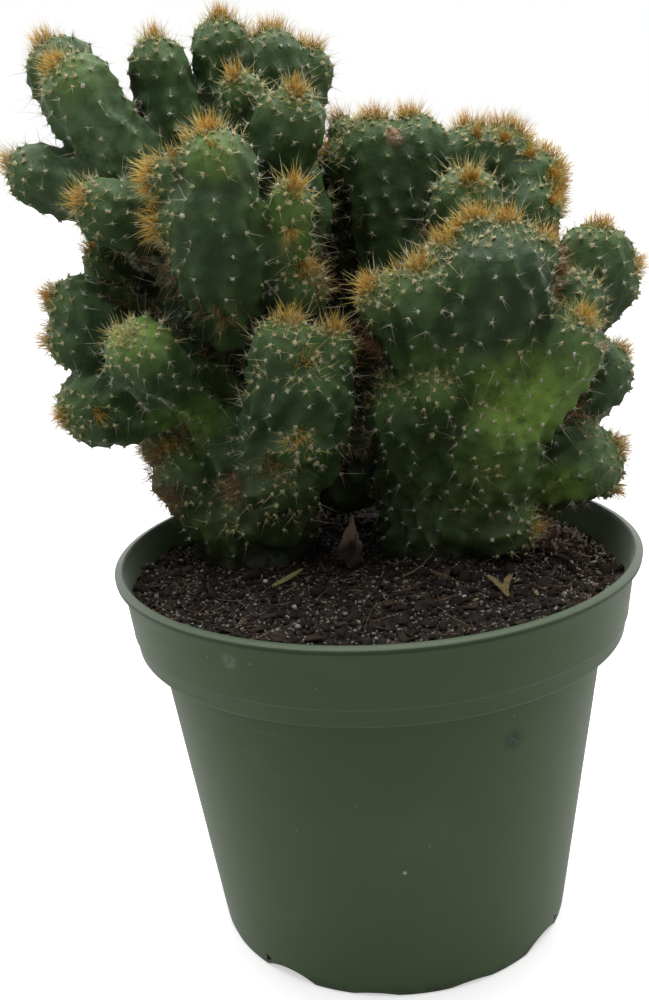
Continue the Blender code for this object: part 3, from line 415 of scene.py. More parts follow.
# Huddles of young areoles on the flanks: a centre and a radius in millimetres, the number of
# areoles and how full the golden tuft in their middle is
HUDDLES = {
    "left": (
        ((-28, -12, 172), 5, 14, 0), ((-19.5, -14, 156), 4, 12, 1), ((-19, -2, 211), 6, 20, 3),
        ((-33, 2, 127), 6, 16, 0), ((-30, -7, 138), 5, 12, 0), ((-62, 16, 131), 6, 14, 0),
        ((-80, 8, 160), 6, 12, 2), ((-37, -7, 234), 8, 34, 1), ((-18, -4, 221), 6, 16, 1),
        ((-41, 7, 125), 6, 20, 0), ((-58, 14, 146), 6, 12, 0), ((-64, -9, 184), 9, 64, 0),
        ((-52, 8, 130), 7, 24, 0), ((-26, 0, 130), 6, 18, 0),
    ),
    "right": (
        ((37, 41, 233), 5, 16, 3), ((46, 40, 231), 5, 16, 4), ((53, 39, 226), 5, 16, 4),
        ((59, 38, 219), 5, 16, 4), ((57, 30, 212), 5, 16, 3), ((25, -10, 171), 4, 16, 0),
        ((17, -10, 164), 6, 26, 0), ((42, -12, 178), 4, 10, 0),
        ((47, 0, 121), 5, 12, 0), ((54, 0, 182), 5, 8, 1), ((47, -8, 188), 5, 8, 0),
        ((20, -8, 152), 6, 14, 0), ((33, -8, 142), 5, 12, 0), ((30, 2, 128), 6, 12, 0),
    ),
}

# Nests of dry fibres: a centre and a radius in millimetres, and the number of fibres
NESTS = {
    "left": (
        ((-66, 20, 141), 6, 230), ((-63, 13, 132), 6, 130), ((-40, 6, 136), 6, 120),
        ((-50, 6, 200), 6, 80), ((-40, 2, 190), 5, 60), ((-30, -4, 144), 5, 40),
        ((-12, 4, 196), 6, 70), ((-64, 20, 214), 7, 110), ((-56, 20, 150), 6, 70),
    ),
    "right": (
        ((-1, 8, 176), 8, 90), ((54, 4, 197), 6, 140), ((49, -2, 190), 5, 60),
        ((52, 16, 113), 5, 110), ((62, 2, 152), 5, 40), ((66, 14, 156), 5, 50), ((30, 22, 206), 7, 70),
    ),
}

# Twigs on the soil: both ends in millimetres, and a radius
TWIGS = (((8.0, -6.5), (20.0, -1.5), 0.35), ((16.0, -7.0), (22.0, -14.0), 0.28),
         ((-8.0, -14.0), (2.0, -20.0), 0.22))

# How much of the sky a point of the skin misses is told by rays of this length; it darkens the
# skin, the wool and the spines as painted shade
SHADE_REACH = 0.040
SHADE_LIFT = 0.0008
SHADE_SOFTENINGS = 3
SHADE_WAYS = 24
SHADE_FACING = 0.15
FIBRE_SHADE = 0.55

# How the spines of a tuft stand: draws for the one nearest the middle, the pull of the skin's
# normal, the crown's way and the place beside the middle, and a random part. Then how far short
# spines outnumber long ones, the share of length in the middle and what it loses at the edge, and
# the shares of the radius.
TuftKind = namedtuple("TuftKind", "draws lift crown fan stray skew full fade slim thick")
GOLDEN_HEART = TuftKind(5, 0.60, 0.70, 60.0, 0.50, 1.0, 1.0, 0.0, 0.7, 1.1)
STRAW_RAYS = TuftKind(2, 0.70, 0.35, 120.0, 0.75, 1.5, 1.1, 0.4, 0.6, 1.0)

# Colours that no slider sets; a spine's run from its root to its tip
HEEL_DUST = (0.060, 0.054, 0.030)
# Painted shade: the green of the dark patches, and the near black of the hollows that the sky misses
PAINTED_SHADE_GREEN = (0.018, 0.040, 0.013)
PAINTED_CLEFT_SHADE = (0.009, 0.009, 0.006)
WET_SOIL = (0.018, 0.014, 0.010)
# Darker wool: its tangles, old pads, and painted shade on shaded pads
OLD_WOOL_AND_SHADE = (0.15, 0.105, 0.066)
RAY_MIDDLE = (0.72, 0.62, 0.15)
PALE_SPINE = ((0.56, 0.50, 0.34), (0.80, 0.76, 0.58), (0.88, 0.86, 0.74))
ASHEN_ROOT = (0.10, 0.07, 0.05)
ASHEN_TIP = (0.42, 0.35, 0.28)
FIBRE_ROOT = (0.16, 0.068, 0.030)
FIBRE_TIP = (0.50, 0.34, 0.19)
ROOT_THREAD = ((0.10, 0.055, 0.03), (0.20, 0.12, 0.07), (0.34, 0.25, 0.16))
GRIT_SHADE = (0.12, 0.10, 0.085)
PERLITE_TONES = ((0.26, 0.25, 0.22), (0.58, 0.56, 0.52))
BARK_SHADE = (0.018, 0.011, 0.008)
LITTER_TONES = ((0.300, 0.215, 0.165), (0.780, 0.650, 0.560))
FLAKE_TONES = ((0.050, 0.034, 0.022), (0.340, 0.270, 0.160))
BROWN_SOIL = (0.070, 0.036, 0.024)
# Painted light: the lighter green of the pot's lower wall. Painted shade: the darker green of its lip
LIT_LOW_WALL = (0.105, 0.178, 0.066)
RIM_SHADE = (0.034, 0.056, 0.026)
FOOT_DIRT = (0.020, 0.026, 0.018)
DUST_SPECK = (0.45, 0.47, 0.42)
DRY_SPOT = (0.030, 0.021, 0.015)
# The leaf's streak and its dark base are partly painted shade of the cleft; its tip is tan
LEAF_STREAK = (0.052, 0.042, 0.036)
LEAF_TIP = (0.255, 0.175, 0.125)
STRAW_STREAK = (0.330, 0.310, 0.130)
OLIVE_TONES = ((0.170, 0.130, 0.055), (0.270, 0.220, 0.110))


def in_metres(lobe):
    """The lobe with its lengths in metres, and its crown's way as a unit vector."""
    crown = np.array(lobe.crown, float)
    return lobe._replace(base=np.array(lobe.base) * MM, base_radius=lobe.base_radius * MM,
                         tip=np.array(lobe.tip) * MM, tip_radius=lobe.tip_radius * MM,
                         crown=crown / np.linalg.norm(crown))


CLUMPS = {
    "left": [in_metres(Lobe(*row)) for row in LEFT_LOBES],
    "right": [in_metres(Lobe(*row)) for row in RIGHT_LOBES],
}


# Sizes and colours that a user may change


def colour_property(name, description, default):
    """A colour slider of the sidebar."""
    return FloatVectorProperty(name=name, description=description, default=default, subtype="COLOR",
                               min=0.0, max=1.0, size=3)


def length_property(name, description, default):
    """A length slider of the sidebar."""
    return FloatProperty(name=name, description=description, default=default, min=0.0, unit="LENGTH",
                         precision=5)


def share_property(name, description, default, **limits):
    """A slider for a plain number."""
    return FloatProperty(name=name, description=description, default=default, **limits)


def count_property(name, description, default):
    """A slider for a number of things."""
    return IntProperty(name=name, description=description, default=default, min=1)


class PlantSettings(PropertyGroup):
    """The flesh of the two stems."""

    voxel: length_property("Skin step", "Grain of the grown skin", 0.00121)
    rib_depth: share_property("Rib depth", "Share of a lobe's radius", 0.056)
    tubercle_depth: share_property("Tubercle depth", "Share of a lobe's radius", 0.035)
    lumps: share_property("Lumps", "Broad unevenness, share of a lobe's radius", 0.13)
    knobs: share_property("Knobs", "Fine unevenness, share of a lobe's radius", 0.055)
    crown_areoles: count_property("Crown areoles", "Tries around each tip", 230)
    areole_bump: length_property("Areole bump", "Height of the chin under each areole", 0.0010)
    bloom: colour_property("Bloom", "Pale waxy patches", (0.125, 0.205, 0.110))
    deep_green: colour_property("Deep green", "Old skin", (0.034, 0.072, 0.019))
    blue_green: colour_property("Blue green", "Waxy bloom on the skin", (0.084, 0.150, 0.068))
    young_green: colour_property("Young green", "Skin beside a growing tip", (0.100, 0.185, 0.045))
    fresh_green: colour_property("Fresh green", "Yellow-green patches", (0.245, 0.400, 0.062))
    # The brown of the seams is dust and cork, and painted shade in the hollows
    seam_dust_and_shade: colour_property("Dust", "Dust and cork in the seams", (0.034, 0.027, 0.014))
    scar_tan: colour_property("Scar", "Corky scars", (0.380, 0.230, 0.140))


class SpineSettings(PropertyGroup):
    """Wool, spines and dry fibres."""

    golden_count: count_property("Golden spines", "Spines per fullness of a tuft", 14)
    ray_count: count_property("Straw rays", "Rays per fullness of a tuft", 12)
    golden_shortest: length_property("Shortest golden spine", "In a tuft", 0.0022)
    golden_longest: length_property("Longest golden spine", "In a tuft", 0.0066)
    ray_longest: length_property("Longest ray", "Around a tuft", 0.0090)
    golden_radius: length_property("Golden spine radius", "At its root", 0.000105)
    pale_radius: length_property("Pale spine radius", "At its root", 0.00010)
    fibres: count_property("Fibres", "Dry fibres on each stem", 1300)
    wool_radius: length_property("Wool radius", "Of an areole's pad", 0.00056)
    amber: colour_property("Amber", "Root of a golden spine", (0.500, 0.165, 0.020))
    gold: colour_property("Gold", "Middle of a golden spine", (0.740, 0.350, 0.032))
    straw: colour_property("Straw", "Tip of a golden spine", (0.860, 0.620, 0.150))
    lime: colour_property("Lime", "Root of a ray", (0.430, 0.420, 0.075))
    chaff: colour_property("Chaff", "Tip of a ray", (0.880, 0.800, 0.380))
    cream: colour_property("Cream", "Wool", (0.860, 0.840, 0.720))
    butter: colour_property("Butter", "Wool beside a growing tip", (0.800, 0.740, 0.440))
    ash: colour_property("Ash", "Old spines", (0.200, 0.150, 0.110))
    rust: colour_property("Rust", "Dry fibres", (0.400, 0.195, 0.085))


class PotSettings(PropertyGroup):
    """The nursery pot."""

    green: colour_property("Pot green", "Moulded plastic", (0.0700, 0.1225, 0.0440))
    worn: colour_property("Worn edge", "Rubbed rims and dust", (0.160, 0.215, 0.140))
    roughness: share_property("Roughness", "Of the plastic", 0.42, min=0.0, max=1.0)


class SoilSettings(PropertyGroup):
    """The potting mix."""

    crumbs: count_property("Crumbs", "Dark crumbs on the surface", 4000)
    grit: count_property("Grit", "Pale grains on the surface", 3000)
    chips: count_property("Bark chips", "Flat chips on the surface", 170)
    threads: count_property("Threads", "Root threads on the surface", 420)
    peat: colour_property("Peat", "Dark soil", (0.0095, 0.0078, 0.0062))
    bark: colour_property("Bark", "Bark chips", (0.052, 0.034, 0.023))
    stone: colour_property("Stone", "Grit and perlite", (0.420, 0.395, 0.350))


class LitterSettings(PropertyGroup):
    """The dry leaf and the straws."""

    # Dark partly as painted shade of the cleft that the leaf stands in
    leaf: colour_property("Dry leaf", "Curled leaf in the cleft", (0.024, 0.019, 0.016))
    straw: colour_property("Straw", "Straw blades", (0.200, 0.180, 0.062))
    thickness: length_property("Thickness", "Of leaf and straw", 0.0005)


class StageSettings(PropertyGroup):
    """The floor and the studio light."""

    floor: colour_property("Floor", "Pale floor", (0.90, 0.90, 0.90))
    bounce: colour_property("Bounce", "The floor as the cactus sees it", (0.37, 0.37, 0.36))
    front: share_property("Front", "Strength of the even light from the viewer's side", 0.26)
    back: share_property("Back", "Strength of the even light from behind", 1.45)
    turn: share_property("Turn", "Where the front light ends, from -1 in front", -0.70)
    top: share_property("Top light", "Power of the overhead panel", 5.0, unit="POWER")


# Modelling helpers


def select_only(*objects):
    """Select these objects alone and make the first of them active."""
    bpy.ops.object.select_all(action="DESELECT")
    for one in objects:
        one.select_set(True)
    bpy.context.view_layer.objects.active = objects[0]


def add_primitive(kind, name, **sizes):
    """Add a mesh primitive at its size and place, and name it."""
    bpy.ops.object.select_all(action="DESELECT")
    getattr(bpy.ops.mesh, f"primitive_{kind}_add")(**sizes)
    made = bpy.context.active_object
    made.name = name
    made.data.name = name
    return made


def joined(pieces):
    """Join pieces into the first of them."""
    select_only(*pieces)
    bpy.ops.object.join()
    return pieces[0]


def settle(piece):
    """Bring the piece's place, turn and scale into its mesh."""
    select_only(piece)
    bpy.ops.object.transform_apply(location=True, rotation=True, scale=True)
    return piece


def apply_modifier(piece, kind, **settings):
    """Add a modifier with its settings and apply it."""
    select_only(piece)
    modifier = piece.modifiers.new(kind.lower(), kind)
    for key, value in settings.items():
        setattr(modifier, key, value)
    bpy.ops.object.modifier_apply(modifier=modifier.name)
    return piece


@contextmanager
def editing(piece):
    """Edit mode for one piece, with its whole mesh selected."""
    select_only(piece)
    bpy.ops.object.mode_set(mode="EDIT")
    bpy.ops.mesh.select_all(action="SELECT")
    yield
    bpy.ops.object.mode_set(mode="OBJECT")


def knock_about(piece, offset, seed, normal=0.0):
    """Push the piece's vertices about at random, with a share of it along their normals."""
    with editing(piece):
        bpy.ops.transform.vertex_random(offset=offset, normal=normal, seed=seed)
    return piece


def read(items, key, width, kind=np.float32):
    """A property of every item, as an array with rows of a width."""
    values = np.empty(len(items) * width, kind)
    items.foreach_get(key, values)
    return values.reshape(-1, width)


def points_of(piece):
    """The piece's vertices as an array."""
    return read(piece.data.vertices, "co", 3, float)


def put_points(piece, points):
    """Move the piece's vertices to the array's points."""
    piece.data.vertices.foreach_set("co", np.ascontiguousarray(points, float).ravel())
    piece.data.update()


def faces_of(piece):
    """The piece's triangles as an array of vertex numbers."""
    piece.data.calc_loop_triangles()
    return read(piece.data.loop_triangles, "vertices", 3, np.int32)


def normals_of(piece):
    """The piece's vertex normals as an array."""
    return read(piece.data.vertex_normals, "vector", 3).astype(float)


def paint_points(piece, name, values):
    """Store one number a vertex, for the piece's material to read."""
    layer = piece.data.attributes.get(name) or piece.data.attributes.new(name, "FLOAT", "POINT")
    layer.data.foreach_set("value", np.ascontiguousarray(values, np.float32))


def remove(*objects):
    """Remove helper objects."""
    for one in objects:
        bpy.data.objects.remove(one, do_unlink=True)


def add_object(name, data):
    """Put a mesh, a lamp or a camera into the scene."""
    made = bpy.data.objects.new(name, data)
    bpy.context.scene.collection.objects.link(made)
    return made


def point_tree(points):
    """A search tree of points."""
    tree = KDTree(len(points))
    for number, point in enumerate(points):
        tree.insert(point, number)
    tree.balance()
    return tree


def near_spot(chance, centre, spread):
    """A random spot around a centre."""
    return Vector(centre) + Vector([chance.gauss(0, spread) for _ in range(3)])


def jitter(chance, size):
    """A random small vector."""
    return np.array([chance.uniform(-size, size) for _ in range(3)])


def unit(vectors):
    """Rows scaled to length one."""
    return vectors / np.maximum(np.linalg.norm(vectors, axis=-1, keepdims=True), 1e-12)


def ease(value, low, high):
    """0 below low, 1 above high, and a smooth step between."""
    share = np.clip((value - low) / (high - low), 0.0, 1.0)
    return share * share * (3 - 2 * share)


def finish_piece(piece, material, slot, *nodes):
    """Give the piece its material, its body and the solids that it stands for; the slot is not used."""
    piece.data.materials.clear()
    piece.data.materials.append(material)
    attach(piece, "root")
    if nodes:
        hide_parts(*nodes)
    return piece


def shade(piece, degrees=None):
    """Shade the piece smooth, all over or below an angle."""
    select_only(piece)
    if degrees is None:
        bpy.ops.object.shade_smooth()
    else:
        bpy.ops.object.shade_smooth_by_angle(angle=radians(degrees))


def copies(name, patterns, rows):
    """One mesh of many copies of small patterns: each row has an origin, a 3 x 3 turn and a tone."""
    shapes = [(points_of(one), faces_of(one)) for one in patterns]
    points = []
    faces = []
    marks = []
    start = 0
    for number, (origin, turn, tone) in enumerate(rows):
        shape_points, shape_faces = shapes[number % len(shapes)]
        points.append(shape_points @ turn.T + origin)
        faces.append(shape_faces + start)
        marks.append(np.full(len(shape_points), tone))
        start += len(shape_points)
    remove(*patterns)
    return mesh_piece(name, np.concatenate(points), np.concatenate(faces), {"tone": np.concatenate(marks)})


def mesh_piece(name, points, faces, marks):
    """A new object from arrays of points and triangles, with numbers for its material."""
    mesh = bpy.data.meshes.new(name)
    mesh.vertices.add(len(points))
    mesh.vertices.foreach_set("co", np.ascontiguousarray(points, np.float32).ravel())
    mesh.loops.add(faces.size)
    mesh.loops.foreach_set("vertex_index", np.ascontiguousarray(faces, np.int32).ravel())
    mesh.polygons.add(len(faces))
    mesh.polygons.foreach_set("loop_start", np.arange(0, faces.size, 3, dtype=np.int32))
    mesh.polygons.foreach_set("loop_total", np.full(len(faces), 3, np.int32))
    mesh.update(calc_edges=True)
    piece = add_object(name, mesh)
    for key, values in marks.items():
        paint_points(piece, key, values)
    return piece


def random_turn(chance, sizes, tilt=pi):
    """A random turn, with the shape scaled along its own axes first."""
    spin = Matrix.Rotation(chance.uniform(0, TURN), 3, "Z")
    lean = Matrix.Rotation(chance.uniform(-tilt, tilt), 3, "X")
    roll = Matrix.Rotation(chance.uniform(-tilt, tilt), 3, "Y")
    return np.array(spin @ lean @ roll) @ np.diag(sizes)


# Materials


class Reading:
    """A socket's value in a material, which takes part in Python expressions."""

    def __init__(self, paint, socket):
        self.paint = paint
        self.socket = socket

    def maths(self, operation, first, second):
        """The reading of a sum, a difference or a product."""
        return self.paint.node("ShaderNodeMath", {"operation": operation}, {0: first, 1: second})

    def __add__(self, other):
        return self.maths("ADD", self, other)

    __radd__ = __add__

    def __sub__(self, other):
        return self.maths("SUBTRACT", self, other)

    def __rsub__(self, other):
        return self.maths("SUBTRACT", other, self)

    def __mul__(self, other):
        return self.maths("MULTIPLY", self, other)

    __rmul__ = __mul__


class Graph:
    """A node tree that grows by calls."""

    def __init__(self, tree):
        self.tree = tree

    def feed(self, socket, value):
        """Link a reading to a socket, or set the socket to a number or a colour."""
        if isinstance(value, Reading):
            self.tree.links.new(value.socket, socket)
        elif socket.type == "RGBA" and len(value) == 3:
            socket.default_value = (*value, 1.0)
        else:
            socket.default_value = value

    def node(self, kind, settings=None, inputs=None, output=0):
        """Add a node, set it, feed its sockets and return one of its outputs."""
        made = self.tree.nodes.new(kind)
        for key, value in (settings or {}).items():
            setattr(made, key, value)
        for key, value in (inputs or {}).items():
            self.feed(made.inputs[key], value)
        return Reading(self, made.outputs[output])

    def step(self, value, low, high):
        """0 below low, 1 above high, smooth between."""
        return self.node("ShaderNodeMapRange", {"interpolation_type": "SMOOTHSTEP"},
                         {"Value": value, "From Min": low, "From Max": high})

    def mix(self, share, first, second):
        """A colour between two colours."""
        return self.node("ShaderNodeMix", {"data_type": "RGBA"}, {0: share, 6: first, 7: second}, 2)

    def layers(self, colour, *washes):
        """A colour under washes, each with its share and its own colour."""
        for share, tone in washes:
            colour = self.mix(share, colour, tone)
        return colour

    def camera_ray(self):
        """1 where the camera looks straight at it, and 0 for all other light."""
        return self.node("ShaderNodeLightPath", output="Is Camera Ray")


class Paint(Graph):
    """A piece's material and the nodes that feed its shader."""

    def __init__(self, name, **constants):
        self.material = bpy.data.materials.new(name)
        self.material.use_nodes = True
        super().__init__(self.material.node_tree)
        self.shader = self.tree.nodes["Principled BSDF"]
        for key, value in constants.items():
            self.feed(self.shader.inputs[key.replace("_", " ")], value)
        self.place = self.node("ShaderNodeTexCoord", output="Object")

    def mark(self, name):
        """A number that the mesh holds at each vertex."""
        return self.node("ShaderNodeAttribute", {"attribute_name": name}, output="Fac")

    def cloud(self, scale, detail=2.0, roughness=0.5, place=None):
        """Soft noise, with a scale in waves a metre."""
        return self.node("ShaderNodeTexNoise", None, {"Vector": place or self.place, "Scale": scale,
                                                      "Detail": detail, "Roughness": roughness})

    def cells(self, scale, output="Distance"):
        """Distance or colour of scattered cells."""
        return self.node("ShaderNodeTexVoronoi", None, {"Vector": self.place, "Scale": scale}, output)

    def axis(self, letter):
        """One coordinate of the place."""
        return self.node("ShaderNodeSeparateXYZ", None, {0: self.place}, letter)

    def stretched(self, x, y, z):
        """The place with each axis scaled, for drawn-out patterns."""
        return self.node("ShaderNodeMapping", None, {"Vector": self.place, "Scale": (x, y, z)})

    def beside(self, point, radius):
        """1 at a point given in millimetres, falling to 0 at a radius around it."""
        away = self.node("ShaderNodeVectorMath", {"operation": "DISTANCE"},
                         {0: self.place, 1: [value * MM for value in point]}, "Value")
        return self.step(away, radius * MM, radius * MM * 0.4)

    def raise_by(self, height, strength, distance):
        """Bump the surface by a height."""
        bump = self.node("ShaderNodeBump", None,
                         {"Height": height, "Strength": strength, "Distance": distance}, "Normal")
        self.feed(self.shader.inputs["Normal"], bump)

    def finish(self, colour, roughness=None):
        """Feed the shader's colour and roughness and return the material."""
        self.feed(self.shader.inputs["Base Color"], colour)
        if roughness is not None:
            self.feed(self.shader.inputs["Roughness"], roughness)
        return self.material


def skin_paint(name, plant):
    """Waxy green skin: deep green, a blue bloom, fresh patches, seams browned by dust and painted shade,
    dark patches and hollows of painted shade, and corky scars.
    """
    paint = Paint(name, Specular_IOR_Level=0.40)
    bloom = paint.step(paint.cloud(62.0, 3.0), 0.48, 0.74)
    mottle = paint.cloud(380.0, 4.0, 0.6)
    streak = paint.cloud(1.0, 3.0, 0.6, paint.stretched(900.0, 900.0, 160.0))
    blotch = paint.cloud(170.0, 4.0, 0.62)
    drift = paint.step(paint.cloud(110.0, 3.0), 0.0, 0.50)
    fleck = paint.step(paint.cells(520.0), 0.16, 0.05) * paint.step(paint.cloud(160.0), 0.50, 0.62)
    soiled = paint.mark("soiled") * paint.step(mottle, 0.25, 0.60)
    scar = paint.mark("scar") * paint.step(paint.cloud(600.0, 3.0), 0.25, 0.60)
    colour = paint.layers(
        plant.deep_green,
        (bloom * 0.60, plant.blue_green),
        (paint.step(blotch, 0.50, 0.74) * 0.40, plant.young_green),
        (paint.mark("bloom") * paint.step(blotch, 0.20, 0.60), plant.bloom),
        (paint.mark("ridge") * 0.30, plant.young_green),
        (paint.mark("young") * 0.55, plant.young_green),
        (paint.step(mottle, 0.35, 0.75) * 0.40, plant.deep_green),
        (paint.mark("fresh") * drift, plant.fresh_green),
        (paint.step(blotch, 0.50, 0.30) * 0.55, plant.deep_green),
        # Brown in the seams: dust, and painted shade
        (paint.mark("hollow") * paint.step(mottle, 0.35, 0.70) * 0.45, plant.seam_dust_and_shade),
        (paint.mark("dusty") * paint.step(blotch, 0.35, 0.60) * 0.45, HEEL_DUST),
        (fleck * 0.45, plant.blue_green),
        # Painted shade: the dark patches
        (paint.mark("dark") * 0.75, PAINTED_SHADE_GREEN),
        # Painted shade: near black where the sky is missed
        (paint.step(paint.mark("shade"), 0.50, 0.95) * 0.80, PAINTED_CLEFT_SHADE),
        (soiled * 0.90, WET_SOIL),
        (scar, plant.scar_tan),
    )
    paint.raise_by(mottle + streak * 0.8 + blotch * 2.0 + scar * 1.5, 0.55, 0.0006)
    return paint.finish(colour, 0.46 - bloom * 0.04 + mottle * 0.18 + paint.mark("shade") * 0.50)


def spine_paint(name, root, middle, tip, roughness=0.45):
    """Spines that change colour from root to tip, each a little its own."""
    paint = Paint(name, Specular_IOR_Level=0.35)
    along = paint.mark("along")
    grain = paint.cloud(2600.0, 2.0)
    colour = paint.layers(
        root,
        (paint.step(along, 0.05, 0.50), middle),
        (paint.step(along, 0.50, 1.0), tip),
        (paint.mark("tone") * 0.60, middle),
        (paint.step(grain, 0.45, 0.75) * 0.25, tip),
    )
    return paint.finish(colour, roughness + grain * 0.2)


def wool_paint(name, cream):
    """Matted wool: cream fluff with darker tangles between, darker still by its tone: at random, where
    old, and as painted shade where shaded.
    """
    paint = Paint(name, Specular_IOR_Level=0.15)
    fluff = paint.cloud(2400.0, 3.0, 0.7)
    colour = paint.layers(OLD_WOOL_AND_SHADE, (paint.step(fluff, 0.30, 0.55), cream), (paint.mark("tone"), OLD_WOOL_AND_SHADE))
    paint.raise_by(fluff, 0.6, 0.0004)
    return paint.finish(colour, 0.85 + fluff * 0.1)


def grain_paint(name, dark, light, share=0.9, roughness=0.85):
    """Crumbs or grit, each grain a little its own, with a mottled face."""
    paint = Paint(name, Specular_IOR_Level=0.25)
    mottle = paint.cloud(1500.0, 3.0, 0.6)
    colour = paint.layers(
        dark,
        (paint.mark("tone") * share, light),
        (paint.step(mottle, 0.40, 0.75) * 0.4, dark),
    )
    paint.raise_by(mottle, 0.5, 0.0003)
    return paint.finish(colour, roughness - mottle * 0.15)


def soil_paint(soil):
    """Damp peat with specks of bark and mineral, browner beside the litter heap."""
    paint = Paint("potting_soil", Specular_IOR_Level=0.30)
    clods = paint.cloud(260.0, 5.0, 0.65)
    specks = paint.node("ShaderNodeSeparateColor", None, {0: paint.cells(1500.0, "Color")})
    right = paint.step(paint.axis("X"), 0.040, 0.066)
    colour = paint.layers(
        soil.peat,
        (paint.step(clods, 0.40, 0.70) * 0.6, soil.bark),
        (right * paint.step(clods, 0.30, 0.60) * 0.7, BROWN_SOIL),
        (paint.step(specks, 0.90, 0.97) * 0.5, soil.stone),
    )
    paint.raise_by(clods + paint.cloud(1400.0, 3.0) * 0.5, 0.8, 0.0012)
    return paint.finish(colour, 0.92 - clods * 0.2)


def pot_paint(pot):
    """Matte moulded plastic with a fine grain, a worn haze, dust specks and a few scuffs, a lower
    wall lighter as painted light and a lip darker as painted shade.
    """
    paint = Paint("pot_green", Specular_IOR_Level=0.45, Sheen_Weight=0.30, Sheen_Roughness=0.45)
    height = paint.axis("Z")
    haze = paint.cloud(28.0, 3.0, 0.55)
    grain = paint.cloud(3200.0, 2.0)
    foot = paint.step(height, 0.0045, 0.0) * paint.step(paint.cloud(240.0, 3.0), 0.40, 0.60)
    scuffs = paint.step(paint.cloud(1.0, 4.0, 0.6, paint.stretched(46.0, 46.0, 900.0)), 0.66, 0.74)
    ragged = paint.step(paint.cloud(900.0, 3.0, 0.6), 0.30, 0.62)
    colour = paint.layers(
        pot.green,
        (paint.step(haze, 0.45, 0.75) * 0.22, pot.worn),
        # Painted light: the wall grows lighter towards the foot
        (paint.step(height, 0.085, 0.025) * 0.30, LIT_LOW_WALL),
        # Painted shade: the lip darkened against the overhead light
        (paint.step(height, POT_HEIGHT - 0.0028, POT_HEIGHT - 0.0016) * 0.60, RIM_SHADE),
        (foot * 0.55, FOOT_DIRT),
        (paint.step(paint.cells(120.0), 0.035, 0.012) * 0.8, DUST_SPECK),
        (scuffs * 0.25, pot.worn),
    )
    for point, radius, strength, tone in POT_MARKS:
        colour = paint.mix(paint.beside(point, radius) * ragged * strength, colour, tone)
    paint.raise_by(grain + haze * 2.0, 0.10, 0.0003)
    return paint.finish(colour, haze * 0.16 + pot.roughness - 0.08)


def leaf_paint(name, base, streak, tip=None):
    """A dry blade with fibres along it, dark spots and, for the leaf, a tip of its own colour over a
    dark base that is partly its own brown and partly painted shade of the cleft.
    """
    paint = Paint(name, Specular_IOR_Level=0.25)
    fibres = paint.cloud(1.0, 3.0, 0.6, paint.stretched(2200.0, 500.0, 500.0))
    blotch = paint.cloud(380.0, 3.0)
    colour = paint.mix(paint.step(fibres, 0.35, 0.70) * 0.6, base, streak)
    if tip:
        height = paint.axis("Z") + blotch * 0.004
        colour = paint.mix(paint.step(height, SOIL_TOP + 0.007, SOIL_TOP + 0.011), colour, tip)
    colour = paint.mix(paint.step(blotch, 0.50, 0.72) * 0.5, colour, DRY_SPOT)
    paint.raise_by(fibres + blotch, 0.6, 0.0003)
    return paint.finish(colour, 0.75 + blotch * 0.2)


# The shape of a stem


def lobe_length(lobe):
    """Distance from a lobe's base to its tip."""
    return float(np.linalg.norm(lobe.tip - lobe.base))


def pole(lobe):
    """A lobe's growing point, on the skin over its tip."""
    return lobe.tip + lobe.crown * lobe.tip_radius


def axis_points(lobe, share):
    """Points of a lobe's curved axis at shares of its way from base to tip."""
    share = np.asarray(share, float).reshape(-1, 1)
    bend = lobe.tip - lobe.crown * lobe_length(lobe) * AXIS_BEND
    return lobe.base * (1 - share) ** 2 + bend * 2 * share * (1 - share) + lobe.tip * share ** 2


def lobe_frames(lobe, share):
    """The axis directions and the two directions across them."""
    step = 0.02
    share = np.asarray(share, float)
    ahead = axis_points(lobe, np.minimum(share + step, 1))
    along = unit(ahead - axis_points(lobe, np.maximum(share - step, 0)))
    chord = unit(lobe.tip - lobe.base)
    across = np.eye(3)[int(np.argmin(np.abs(chord)))]
    side = unit(np.cross(across, along))
    return along, side, np.cross(along, side)


def body_radii(lobe, share):
    """Mean radius of a lobe's body at shares of its way."""
    return lobe.base_radius + (lobe.tip_radius - lobe.base_radius) * ease(np.asarray(share, float), 0.0, 1.0)


def rib_count(lobe):
    """Ribs that fit around the lobe at its own spacing."""
    return max(FEWEST_RIBS, round(pi * (lobe.base_radius + lobe.tip_radius) / RIB_SPACING))


def lobe_phase(lobe, side):
    """The turn of a lobe's ribs, its own but the same each time."""
    return random.Random(f"{SEEDS[side]}{lobe.name}").uniform(0, TURN)


def areole_row(distance):
    """How many areoles lie along a rib within a distance of the growing tip."""
    last = AREOLE_FIRST * (AREOLE_LAST / AREOLE_FIRST - 1) / AREOLE_GROWTH
    near = np.log1p(AREOLE_GROWTH * np.minimum(distance, last) / AREOLE_FIRST) / AREOLE_GROWTH
    return near + np.maximum(distance - last, 0) / AREOLE_LAST


def areole_distance(row):
    """Distance from the growing tip of a row of areoles."""
    bend = log(AREOLE_LAST / AREOLE_FIRST) / AREOLE_GROWTH
    near = AREOLE_FIRST * (exp(AREOLE_GROWTH * min(row, bend)) - 1) / AREOLE_GROWTH
    return near + max(row - bend, 0) * AREOLE_LAST


def tip_walk(lobe):
    """The walk from a lobe's base to its growing point, over the round of its tip."""
    return lobe_length(lobe) + lobe.tip_radius * pi / 2


